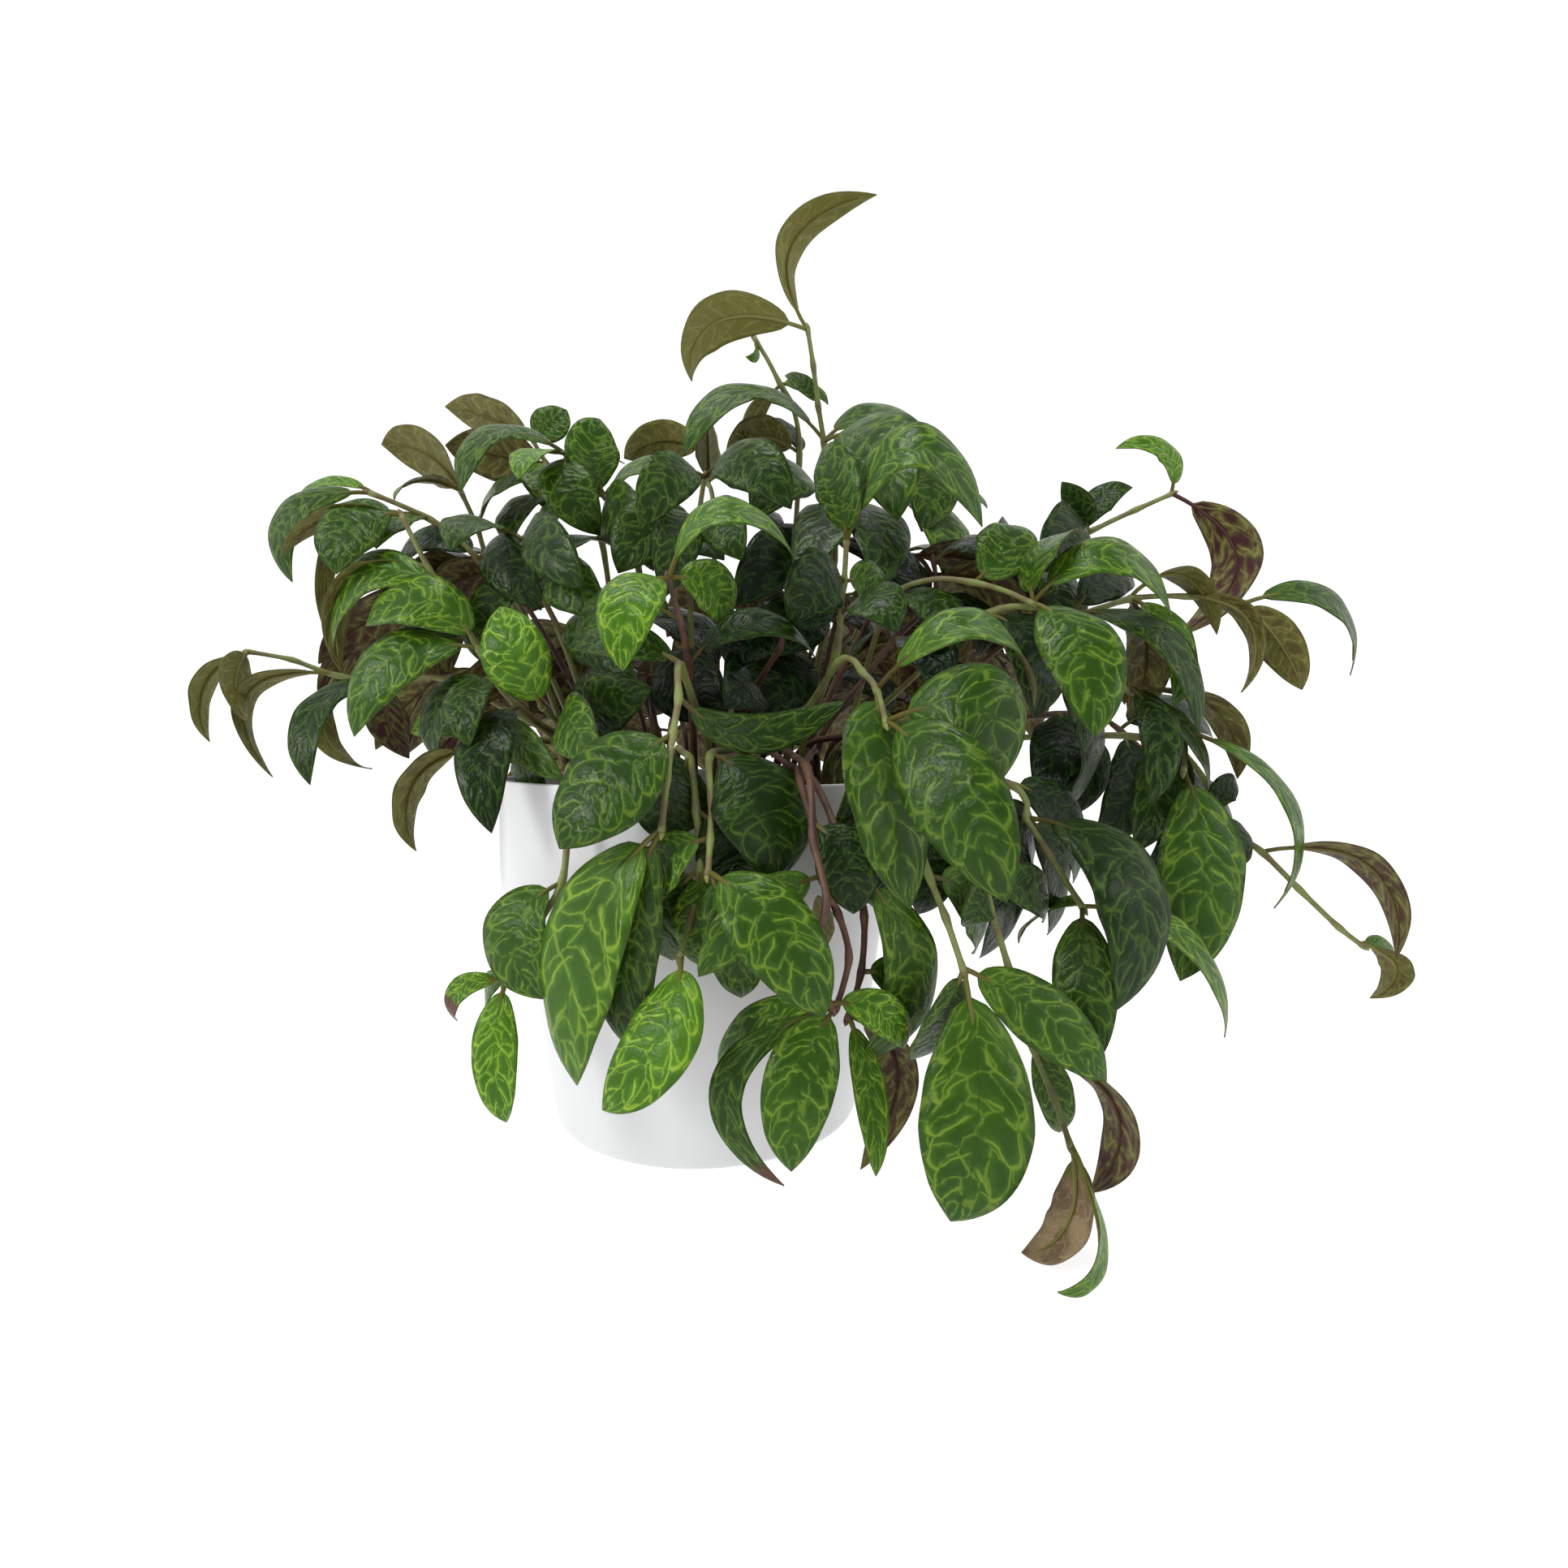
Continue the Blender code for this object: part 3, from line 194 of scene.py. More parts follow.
# Leaf(node, tip, width, arch, lean, roll, fold, peak)
FRONT_STEMS = (
    Stem("stem_tall", ((1028, 690, 22), (1020, 620, 22), (1015, 545, 20), (1008, 500, 18),
                       (1002, 450, 16), (995, 405, 15)), (
        Leaf(5, (1080, 234, 5), 18, 24, 80, -15, 14, 0.42),
        Leaf(5, (846, 471, -15), 19, 16, 10, -60, 14, 0.72),
        Leaf(2, (840, 556, 0), 23, 27, 15, 55, 12, 0.34),
        Leaf(2, (1104, 638, -35), 31, 16, 20, 60, 5),
        Leaf(2, (1182, 566, 40), 20, 17, 0),
        Leaf(3, (966, 457, 25), 8, 2, -40),
        Leaf(1, (930, 640, -10), 24, 14, 10),
        Leaf(1, (982, 712, -30), 25, 10),
        Leaf(1, (1085, 722, -30), 26, 12),
        Leaf(0, (905, 745, -25), 26, 12, 0))),
    Stem("stem_shoot", ((985, 560, 45), (962, 475, 40), (929, 416, 38)), (
        Leaf(2, (923, 443, 36), 7, 3, 60),
        Leaf(1, (1023, 494, 45), 9, 4, 0, 80),
        Leaf(1, (920, 548, 30), 9, 8, 0, 0),
        Leaf(0, (944, 512, 50), 14, 4, 0, 60),
        Leaf(0, (890, 575, 30), 20, 12, 0, -30))),
    Stem("stem_joint", ((1030, 805, -50), (1035, 760, -50), (1040, 718, -50), (1043, 666, -48)), (
        Leaf(3, (1006, 552, -38), 21, 8, -40, 55, 5),
        Leaf(3, (1217, 646, -60), 26, 29, 5, 30, 12, 0.5),
        Leaf(1, (1105, 775, -70), 20, 8, 0),
        Leaf(2, (975, 770, -66), 22, 10),
        Leaf(2, (1078, 748, -46), 20, 5))),
    Stem("stem_fore", ((1034, 815, -60), (1062, 828, -72), (1080, 850, -88), (1092, 893, -100)), (
        Leaf(2, (1283, 866, -72), 20, 25, 0, 8, 15),
        Leaf(3, (1225, 982, -98), 27, 22, 15, 40, 8),
        Leaf(3, (1240, 1115, -128), 27, 10, 25, 35, 6),
        Leaf(2, (1128, 1121, -112), 29, 10, 45, 45, 6))),
    Stem("stem_middle", ((848, 820, -72), (838, 765, -76), (823, 712, -74)), (
        Leaf(2, (766, 826, -100), 19, 10, 15, 30, 8),
        Leaf(2, (984, 680, -70), 18, 19, 0, 10),
        Leaf(2, (896, 780, -60), 20, 8, 0),
        Leaf(1, (700, 788, -50), 17, 10, 0),
        Leaf(0, (1012, 808, -58), 16, 14, 0, 10)), "brown"),
    Stem("stem_drape", ((838, 820, -86), (836, 860, -94), (829, 905, -100), (822, 960, -103),
                        (815, 1025, -106)), (
        Leaf(2, (684, 1045, -112), 29, 4, 0, 20, 6),
        Leaf(1, (1042, 862, -76), 13, -13, 0, 50, 8),
        Leaf(0, (695, 795, -74), 12, 5, 0),
        Leaf(4, (704, 1342, -102), 31, 12, 45, 45, 6),
        Leaf(4, (778, 1300, -98), 21, 8, 30, 40, 8))),
    Stem("stem_drape_2", ((876, 930, -84), (877, 985, -94), (875, 1035, -100), (872, 1078, -104)), (
        Leaf(3, (1020, 1256, -118), 24, 9, 5, 20, 6),
        Leaf(2, (800, 1130, -96), 20, 8, 20, 20, 8),
        Leaf(3, (912, 1236, -94), 18, 5, 0),
        Leaf(0, (952, 1090, -100), 32, 9, -45, 45, 4))),
    Stem("stem_drape_3", ((850, 935, -80), (858, 1000, -90), (862, 1070, -94), (852, 1130, -98),
                          (838, 1180, -104)), (
        Leaf(4, (736, 1370, -116), 22, 10, -65, 60, 8),
        Leaf(2, (868, 1200, -90), 20, 6, 0, 20),
        Leaf(0, (824, 1040, -88), 27, 6, 0),
        Leaf(2, (822, 1195, -84), 18, 7),
        Leaf(1, (905, 1095, -80), 22, 8))),
    Stem("stem_russet", ((985, 952, -86), (1002, 1015, -94), (1012, 1080, -99), (1032, 1125, -100),
                         (1046, 1180, -101), (1030, 1243, -102)), (
        Leaf(5, (965, 1469, -104), 10, 27, 72, 60, 10, 0.5),
        Leaf(5, (975, 1449, -117), 21, 8, 40, 40, 6),
        Leaf(5, (880, 1340, -90), 12, 12, 10, 20, 10),
        Leaf(2, (863, 1196, -100), 15, 8, 0),
        Leaf(1, (1046, 1112, -74), 18, 6)), "brown"),
    Stem("stem_russet_2", ((1000, 950, -80), (1030, 1010, -90), (1055, 1062, -97), (1066, 1120, -97),
                           (1062, 1190, -98), (1045, 1248, -96)), (
        Leaf(2, (1068, 1338, -112), 21, 17, -50, 50, 8, 0.55),
        Leaf(5, (1082, 1453, -104), 10, 3, -20),
        Leaf(5, (1060, 1438, -82), 13, 16, -60, -60, 8),
        Leaf(4, (1128, 1245, -84), 14, 6, 0),
        Leaf(1, (1085, 1125, -80), 24, 9)), "brown"),
    Stem("stem_twig", ((1016, 945, -82), (1024, 1030, -92), (1040, 1105, -95), (1020, 1170, -96),
                       (1046, 1226, -94)), (
        Leaf(2, (1000, 1180, -80), 11, 5, 0),
        Leaf(4, (1108, 1262, -78), 12, 7, 0)), "brown"),
    Stem("stem_left_low", ((703, 945, -74), (699, 1015, -86), (692, 1088, -86), (655, 1150, -88),
                           (622, 1212, -86)), (
        Leaf(2, (665, 1235, -96), 23, 12, 50, 55, 8),
        Leaf(4, (555, 1262, -88), 8, 8, 0, 30, 15, 0.5),
        Leaf(4, (622, 1389, -92), 14, 6, -8, 20, 8),
        Leaf(4, (600, 1245, -70), 10, 4, 0))),
    Stem("stem_big_leaf", ((1095, 942, -66), (1122, 1005, -84), (1145, 1080, -96), (1165, 1130, -100),
                           (1188, 1198, -104)), (
        Leaf(4, (1172, 1511, -120), 32, 7, -25, 50, 6, 0.64),
        Leaf(4, (1370, 1334, -104), 19, 4, 5, 40, 8),
        Leaf(4, (1124, 1306, -90), 17, 5, 0),
        Leaf(2, (1210, 1183, -78), 20, 8, 0),
        Leaf(0, (1035, 1065, -76), 22, 9),
        Leaf(1, (1134, 1132, -80), 18, 6))),
    Stem("stem_floor", ((1135, 938, -58), (1185, 1010, -76), (1215, 1100, -90), (1245, 1200, -88),
                        (1270, 1285, -84), (1298, 1352, -92), (1320, 1415, -102)), (
        Leaf(4, (1357, 1480, -92), 18, 19, 10, -50, 8),
        Leaf(6, (1308, 1602, -136), 9, 10, -60, 15, 15, 0.75),
        Leaf(6, (1262, 1550, -114), 16, 8, -60, -60, 6, 0.6),
        Leaf(4, (1309, 1402, -74), 12, 3, 40, 40),
        Leaf(2, (1178, 1135, -80), 14, 6, 0),
        Leaf(2, (1293, 1138, -75), 16, 8, 0))),
    Stem("stem_right_fall", ((1240, 965, -62), (1265, 1008, -70), (1292, 1052, -76), (1335, 1120, -80)), (
        Leaf(1, (1383, 1248, -96), 28, 21, -5, 35, 6),
        Leaf(3, (1360, 1334, -104), 19, 5, 70, 5, 6),
        Leaf(3, (1258, 1165, -66), 14, 5, 0),
        Leaf(3, (1518, 1280, -60), 11, 15, 0),
        Leaf(0, (1330, 1090, -50), 22, 9),
        Leaf(1, (1298, 1142, -58), 18, 6))),
    Stem("stem_right_bow", ((1100, 736, -30), (1200, 718, -38), (1275, 745, -52)), (
        Leaf(2, (1352, 906, -86), 26, 9, 10, 35, 6),
        Leaf(2, (1452, 762, -48), 20, 20, 0, 35, 8),
        Leaf(2, (1335, 648, -46), 22, 8, -75, 15),
        Leaf(1, (1246, 640, -25), 22, 7, 30),
        Leaf(0, (1180, 805, -44), 20, 8))),
    Stem("stem_right_long", ((1215, 757, -40), (1320, 758, -35), (1392, 738, -30), (1460, 735, -20),
                             (1532, 745, -10)), (
        Leaf(4, (1672, 832, 5), 15, 20, 0, 50, 12, 0.6),
        Leaf(4, (1606, 850, -20), 16, 3, 0, -60, 6),
        Leaf(2, (1503, 778, -15), 14, 15, 0, -20, 12, 0.3),
        Leaf(2, (1452, 870, -48), 16, 9, 0, 40),
        Leaf(3, (1536, 856, -30), 12, 15, 0, -20),
        Leaf(1, (1475, 900, -50), 18, 15, 0, 40, 8),
        Leaf(0, (1274, 884, -50), 25, 10),
        Leaf(1, (1398, 708, 0), 20, 10),
        Leaf(2, (1396, 885, -10), 27, 8, 0, 5),
        Leaf(2, (1425, 860, 5), 26, 8, -20))),
    Stem("stem_right_shoot", ((1250, 700, 25), (1340, 656, 25), (1400, 628, 22), (1445, 608, 20)), (
        Leaf(3, (1376, 547, 25), 14, 12, 0, 60, 12),
        Leaf(3, (1462, 787, -5), 22, 25, 0, -45, 8, 0.5),
        Leaf(1, (1308, 596, 15), 12, 2, -60, 75),
        Leaf(1, (1396, 596, 25), 14, 6, 0, 75),
        Leaf(0, (1225, 690, -10), 22, 10, 0),
        Leaf(0, (1400, 690, 0), 22, 9, 0),
        Leaf(1, (1285, 705, 0), 24, 10),
        Leaf(0, (1300, 790, 0), 26, 12))),
    Stem("stem_right_side", ((1290, 840, -48), (1390, 850, -42), (1455, 900, -40), (1458, 952, -48)), (
        Leaf(3, (1466, 1216, -70), 30, 7, 2, 50, 5),
        Leaf(2, (1578, 1123, -45), 13, 21, 0, 35, 12, 0.55),
        Leaf(1, (1420, 990, -70), 14, 8, 0),
        Leaf(1, (1529, 957, -22), 16, 14, 0, -20, 12, 0.55),
        Leaf(0, (1368, 1025, -84), 27, 15, 0, 35, 6),
        Leaf(1, (1497, 972, -45), 16, 6, 0, 30))),
    Stem("stem_far_right", ((1420, 910, -20), (1500, 1005, -22), (1555, 1050, -24), (1600, 1095, -26),
                            (1650, 1143, -28), (1680, 1166, -30)), (
        Leaf(2, (1727, 1182, -40), 18, 21, -5, -15, 12, 0.5),
        Leaf(5, (1692, 1236, -34), 15, 12, -20, -10, 12),
        Leaf(5, (1724, 1182, -25), 7, 3, 0),
        Leaf(1, (1527, 1072, -30), 13, 4, 0),
        Leaf(0, (1400, 1048, -50), 20, 9, 0),
        Leaf(1, (1530, 962, -22), 12, 6, 0, 60))),
    Stem("stem_left_front", ((640, 872, -50), (610, 838, -50), (590, 800, -48), (553, 735, -42),
                             (528, 700, -40), (494, 634, -36)), (
        Leaf(2, (430, 907, -60), 22, 13, 0, 50, 6),
        Leaf(3, (402, 800, -30), 19, 19, 0, 45, 8),
        Leaf(1, (575, 918, -78), 16, 8, 0, 20, 8),
        Leaf(1, (530, 938, -50), 17, 9, 0),
        Leaf(2, (443, 768, -44), 22, 14, 0, 40, 8),
        Leaf(5, (410, 705, -48), 23, 8, 0, 65, 6),
        Leaf(5, (345, 678, -30), 12, 7, 0, -20),
        Leaf(4, (416, 828, -20), 14, 18, 0, -20),
        Leaf(0, (604, 1026, -86), 18, 11, 0, 30, 6))),
    Stem("stem_left_upper", ((640, 760, -10), (590, 690, -14), (530, 640, -16), (455, 607, -18)), (
        Leaf(3, (344, 714, -30), 17, 16, 0, 55, 8, 0.55),
        Leaf(3, (357, 618, -5), 6, 6, 0),
        Leaf(2, (399, 784, 0), 10, 22, 0, -20),
        Leaf(2, (460, 670, -40), 18, 5, 0),
        Leaf(1, (664, 752, -36), 20, 10, 0),
        Leaf(1, (480, 700, -10), 18, 10, 0))),
    Stem("stem_far_left", ((560, 840, 5), (480, 838, 10), (414, 832, 12), (360, 813, 14),
                           (305, 803, 16)), (
        Leaf(4, (252, 916, 10), 14, 11, 0, -8, 12),
        Leaf(4, (299, 894, -8), 15, 5, 0, -75, 8),
        Leaf(2, (330, 961, 0), 13, 26, 0, -15),
        Leaf(2, (457, 954, 0), 14, 17, 80, 0, 12, 0.3),
        Leaf(1, (377, 966, -25), 17, 15, 0, 45),
        Leaf(1, (499, 938, -5), 24, 5, 0, -75))),
    Stem("stem_pale_left", ((640, 905, -30), (600, 908, -40), (575, 926, -48)), (
        Leaf(2, (505, 1050, -60), 17, 11, 0, -40, 12),
        Leaf(1, (690, 962, -72), 14, 7, 0),
        Leaf(0, (662, 992, -60), 18, 8, 0),
        Leaf(1, (500, 900, -20), 14, 6, 0))),
    Stem("stem_oval", ((720, 905, -40), (690, 890, -52), (668, 872, -60)), (
        Leaf(2, (612, 742, -62), 22, 9, 0, 0, 5),
        Leaf(1, (738, 945, -84), 20, 8, 0),
        Leaf(0, (800, 850, -70), 22, 7, 40))),
    Stem("stem_crown_left", ((785, 690, 10), (745, 612, 8), (697, 560, 6)), (
        Leaf(2, (563, 602, -12), 20, 19, 0, 50, 8),
        Leaf(2, (637, 584, -30), 14, 6, 0),
        Leaf(1, (854, 588, 0), 18, 9, 0),
        Leaf(1, (741, 512, 10), 22, 6, 60, 60),
        Leaf(0, (700, 672, -20), 20, 8, 0),
        Leaf(0, (890, 674, -20), 23, 8, 0),
        Leaf(1, (668, 668, 0), 24, 9),
        Leaf(1, (800, 700, -10), 24, 9),
        Leaf(2, (744, 662, 0), 21, 9))),
    Stem("stem_crown_back", ((740, 660, 30), (700, 610, 34), (674, 572, 38), (656, 542, 40)), (
        Leaf(2, (550, 548, 30), 22, 0, 0, -45, 5),
        Leaf(3, (553, 500, 60), 19, 2, 0, -60),
        Leaf(3, (698, 502, 45), 17, 0, 60),
        Leaf(2, (700, 640, 20), 20, 9, 0),
        Leaf(1, (770, 565, 55), 20, 9, 0),
        Leaf(1, (625, 668, 0), 20, 9, 0))),
    Stem("stem_crown_mid", ((850, 700, -10), (860, 640, -14), (868, 588, -16)), (
        Leaf(2, (975, 625, -40), 22, 12, 0, 40, 6),
        Leaf(2, (790, 650, -46), 19, 10, 0),
        Leaf(1, (820, 735, -50), 18, 8, 0),
        Leaf(1, (912, 690, -34), 19, 8, 0),
        Leaf(1, (760, 705, -30), 24, 8))),
    Stem("stem_crown_top", ((880, 640, 40), (872, 595, 50), (866, 558, 55)), (
        Leaf(2, (766, 566, 50), 18, 11, 0, -40),
        Leaf(1, (870, 512, 45), 20, 3, 0, 60),
        Leaf(1, (926, 598, 20), 20, 7, 0),
        Leaf(0, (800, 700, 20), 24, 10),
        Leaf(0, (950, 660, 20), 24, 10))),
    Stem("stem_shade_mid", ((930, 850, -50), (960, 800, -58), (965, 770, -60)), (
        Leaf(2, (893, 806, -78), 17, 6, 0),
        Leaf(0, (900, 870, -80), 22, 6, 0),
        Leaf(2, (1000, 705, -50), 20, 6, 60))),
    Stem("stem_shade_right", ((1100, 790, -20), (1150, 740, -20), (1150, 690, -18)), (
        Leaf(2, (1240, 690, -45), 21, 9, 0),
        Leaf(1, (1230, 800, -50), 20, 8, 0),
        Leaf(0, (1160, 850, -60), 20, 8, 0),
        Leaf(1, (1030, 660, 0), 22, 4, 0))),
    Stem("stem_shade_low", ((1150, 900, -60), (1190, 950, -74), (1210, 1010, -80)), (
        Leaf(2, (1213, 1186, -66), 22, 9, 0),
        Leaf(2, (1290, 1090, -70), 19, 8, 0),
        Leaf(1, (1140, 1060, -84), 20, 8, 0))),
    Stem("stem_shade_side", ((1300, 880, 0), (1380, 900, 0), (1440, 960, -4)), (
        Leaf(2, (1410, 1180, -20), 20, 10, 0),
        Leaf(2, (1520, 1045, 0), 18, 9, 0),
        Leaf(1, (1500, 905, 8), 22, 9, 0),
        Leaf(0, (1330, 1010, -30), 22, 9, 0),
        Leaf(1, (1350, 1045, -10), 24, 9),
        Leaf(0, (1275, 985, -30), 24, 10),
        Leaf(2, (1415, 1075, -10), 22, 9))),
    Stem("stem_crown_right", ((1090, 690, 40), (1100, 620, 48), (1110, 570, 52)), (
        Leaf(2, (1180, 548, 40), 16, 8, 0),
        Leaf(2, (1060, 560, 70), 17, 8, 0),
        Leaf(1, (1220, 620, 35), 20, 10, 0),
        Leaf(0, (1190, 700, 20), 22, 9, 0),
        Leaf(1, (1165, 705, 10), 26, 12),
        Leaf(2, (1135, 655, 20), 26, 10))),
    Stem("stem_crown_low", ((640, 745, 10), (605, 700, 12), (588, 650, 12), (568, 606, 12)), (
        Leaf(3, (474, 545, 20), 24, 6, 0, -55, 5),
        Leaf(2, (640, 588, 0), 18, 5, 0, 40),
        Leaf(3, (480, 610, -8), 13, 7, 0, 20),
        Leaf(1, (520, 720, -10), 20, 10, 0),
        Leaf(0, (545, 700, 0), 22, 12, 0))),
    Stem("stem_left_mid", ((690, 780, -20), (660, 720, -24), (640, 665, -26)), (
        Leaf(2, (560, 690, -50), 20, 9, 0),
        Leaf(2, (716, 740, -54), 20, 9, 0),
        Leaf(1, (740, 760, -50), 20, 8, 0),
        Leaf(1, (579, 812, -36), 22, 9, 0),
        Leaf(0, (780, 840, -54), 18, 8, 0))),
    Stem("stem_shade_deep", ((1000, 905, 5), (1015, 830, 10), (1030, 765, 14)), (
        Leaf(2, (918, 812, -14), 28, 8, 0),
        Leaf(2, (1128, 806, -8), 28, 8, 0),
        Leaf(1, (908, 890, -16), 28, 8, 0),
        Leaf(1, (1112, 885, -14), 28, 8, 0))),
    Stem("stem_shade_left", ((812, 905, 0), (800, 835, 5), (790, 765, 8)), (
        Leaf(2, (712, 806, -12), 28, 8, 0),
        Leaf(2, (884, 812, -12), 28, 8, 0),
        Leaf(1, (708, 888, -14), 28, 8, 0),
        Leaf(1, (894, 895, -14), 28, 8, 0))),
)


@dataclass(frozen=True)
class BackLeaves:
    """The ranges that the far side's leaves are drawn from, in degrees and millimetres.

    Attributes:
        swing: How far a leaf swings aside from its stem.
        length: How long it is.
        level: How much of its length it reaches out.
        drop: How far its tip hangs.
        node_drop: How much further it hangs at each node.
        width: How wide it is.
        arch: How far it arches.
        roll: How far it rolls.
        fold: How far its halves fold up.
    """

    swing: tuple[float, float] = (30, 80)
    length: tuple[float, float] = (56, 80)
    level: float = 0.8
    drop: tuple[float, float] = (6, 30)
    node_drop: float = 8
    width: tuple[float, float] = (19, 26)
    arch: tuple[float, float] = (9, 16)
    roll: tuple[float, float] = (15, 45)
    fold: float = 8

    def leaf(self, rng: random.Random, node: int, start: Vector, turn: float, side: int) -> Leaf:
        """Draw one leaf.

        Args:
            rng: The far side's draws.
            node: The node it grows from.
            start: That node's point.
            turn: The way its stem points, in radians.
            side: The leaf's side of the stem, 1 or -1.

        Returns:
            The leaf.
        """
        swing = turn + side * math.radians(rng.uniform(*self.swing))
        length = rng.uniform(*self.length)
        drop = rng.uniform(*self.drop) + self.node_drop * node
        aim = Vector((math.cos(swing), math.sin(swing), 0)) * length * self.level
        return Leaf(node, start + aim - Vector((0, 0, drop)), rng.uniform(*self.width),
                    rng.uniform(*self.arch), 0, -rng.uniform(*self.roll), self.fold)


BACK_SEED = 11
BACK_STEMS = 13
# Where the first of the far side's stems points and how far round they spread, in degrees
BACK_FIRST = -4.0
BACK_SPREAD = 188.0
# They stand in tiers of (reach, top, end height) in turn, each off by up to this
BACK_TIERS = ((96.0, 232.0, 214.0), (150.0, 190.0, 78.0), (128.0, 206.0, 150.0))
BACK_STRAY = 9
# The two sides hang less far: their end height over how far round they stand
BACK_SIDE_END = 222.0


def back_stems() -> list[Stem]:
    """Give the stems that the picture hides, spread round the pot's far side."""
    rng = random.Random(BACK_SEED)
    plan = BackLeaves()
    stems = []
    for k in range(BACK_STEMS):
        turn = math.radians(BACK_FIRST + BACK_SPREAD * (k + 0.5) / BACK_STEMS)
        reach, top, low = (value + rng.uniform(-BACK_STRAY, BACK_STRAY)
                           for value in BACK_TIERS[k % len(BACK_TIERS)])
        out = Vector((math.cos(turn), math.sin(turn), 0.0))
        end = max(low, BACK_SIDE_END * abs(out.x))
        route = [out * reach * part + Vector((0, 0, height)) for part, height in
                 ((0.6, 0.4 * top + 90.0), (0.88, 0.7 * top + 0.3 * end), (1.0, end))]
        leaves = [plan.leaf(rng, node, start, turn, side)
                  for node, start in enumerate(route) for side in (-1, 1)]
        stems.append(Stem(f"stem_back_{k + 1:02d}", tuple(route), tuple(leaves)))
    return stems


def smooth(points: Sequence[Vector], steps: int) -> list[Vector]:
    """Round a line off.

    Args:
        points: The points that the curve passes.
        steps: How many points it gets for each of them.

    Returns:
        The points along the curve.
    """
    ends = [2 * points[0] - points[1], *points, 2 * points[-1] - points[-2]]
    curve = []
    for a, b, c, d in zip(ends, ends[1:], ends[2:], ends[3:]):
        for k in range(steps):
            t = k / steps
            curve.append(0.5 * ((2 * b) + (c - a) * t + (2 * a - 5 * b + 4 * c - d) * t * t
                                + (3 * b - a - 3 * c + d) * t ** 3))
    curve.append(points[-1].copy())
    return curve


def coarse_tube(points: Sequence[Vector], start_radius: float, end_radius: float) -> Shape:
    """Give a stem's solid as the frame has it.

    Args:
        points: The stem's line.
        start_radius: Its radius at the soil.
        end_radius: Its radius at the far end.

    Returns:
        Its corners and faces.
    """
    corners = []
    across = FIRST_SIDE
    last = len(points) - 1
    for k, point in enumerate(points):
        ahead = (points[min(k + 1, last)] - points[max(k - 1, 0)]).normalized()
        across = (across - across.dot(ahead) * ahead).normalized()
        beside = ahead.cross(across)
        radius = start_radius + (end_radius - start_radius) * k / last
        for side in range(STEM_SIDES):
            turn = math.tau * side / STEM_SIDES
            corners.append(point + radius * (math.cos(turn) * across + math.sin(turn) * beside))
    faces = [tuple(reversed(range(STEM_SIDES))), tuple(range(last * STEM_SIDES, (last + 1) * STEM_SIDES))]
    for k in range(last):
        for side in range(STEM_SIDES):
            a, b = k * STEM_SIDES + side, k * STEM_SIDES + (side + 1) % STEM_SIDES
            faces += [(a, b, b + STEM_SIDES), (a, b + STEM_SIDES, a + STEM_SIDES)]
    return corners, faces


def half_width(leaf: Leaf, t: float) -> float:
    """Give half the solid blade's width at t, from 0 at the stem to 1 at the tip."""
    if t < PETIOLE:
        return PETIOLE_HALF
    s = (t - PETIOLE) / (1 - PETIOLE)
    swell = math.sin(math.pi * s ** BLADE_MIDDLE) ** BLADE_BLUNT
    return max(PETIOLE_HALF, BLADE_HALF * leaf.width * swell)


class Midrib:
    """The arched line that a leaf grows along, with its side and face directions."""

    def __init__(self, leaf: Leaf, base: Vector, tip: Vector) -> None:
        """Bend the line from its base to its tip.

        Args:
            leaf: The leaf that grows along it.
            base: Where it leaves the stem.
            tip: Where it ends.
        """
        chord = tip - base
        ahead = chord.normalized()
        outward = Vector((base.x, base.y, 0)).normalized()
        lift = Vector((0, 0, 1)) + LEAF_OUTWARD * outward
        lift = (lift - lift.dot(ahead) * ahead).normalized()
        lift = Matrix.Rotation(math.radians(leaf.lean), 3, ahead) @ lift
        self.leaf, self.base, self.tip = leaf, base, tip
        self.bend = base + chord * leaf.peak + 2 * leaf.arch * lift
        self.plane = ahead.cross(lift)
        self.turn = math.radians(leaf.roll) * (1 if self.plane.y < 0 else -1)

    def at(self, t: float) -> tuple[Vector, Vector, Vector]:
        """Give the point at t, the side direction there and the way the blade faces."""
        point = (1 - t) ** 2 * self.base + 2 * t * (1 - t) * self.bend + t * t * self.tip
        ahead = self.ahead(t)
        roll = Matrix.Rotation(self.turn, 3, ahead)
        return point, roll @ self.plane, roll @ self.plane.cross(ahead)

    def ahead(self, t: float) -> Vector:
        """Give the direction the midrib runs in at t."""
        return ((1 - t) * (self.bend - self.base) + t * (self.tip - self.bend)).normalized()


def coarse_blade(midrib: Midrib, swell: float = 0.0, first: int = 0) -> Shape:
    """Give a blade's solid as the frame has it.

    Args:
        midrib: The line it grows along.
        swell: How much thicker and wider it is than the real one.
        first: The first of its rings that counts.

    Returns:
        Its corners and faces.
    """
    leaf = midrib.leaf
    fold = math.radians(leaf.fold)
    corners = []
    for t in BLADE_STATIONS[first:]:
        point, side, face = midrib.at(t)
        half = half_width(leaf, t) + swell * 0.5
        rise = (KEEL_FOLD * half * math.sin(fold) + swell * 0.5) * face
        keel = BLADE_THICK + swell
        corners += [point - half * math.cos(fold) * side + rise, point - keel * face,
                    point + half * math.cos(fold) * side + rise]
    corners.append(midrib.at(1.0)[0])
    rings = len(BLADE_STATIONS) - first
    faces = [(0, 1, 2)]
    for ring in range(rings - 1):
        for k in range(3):
            a, b = ring * 3 + k, ring * 3 + (k + 1) % 3
            faces += [(a, b + 3, b), (a, a + 3, b + 3)]
    end = rings * 3
    faces += [(end - 3 + (k + 1) % 3, end - 3 + k, end) for k in range(3)]
    return corners, faces


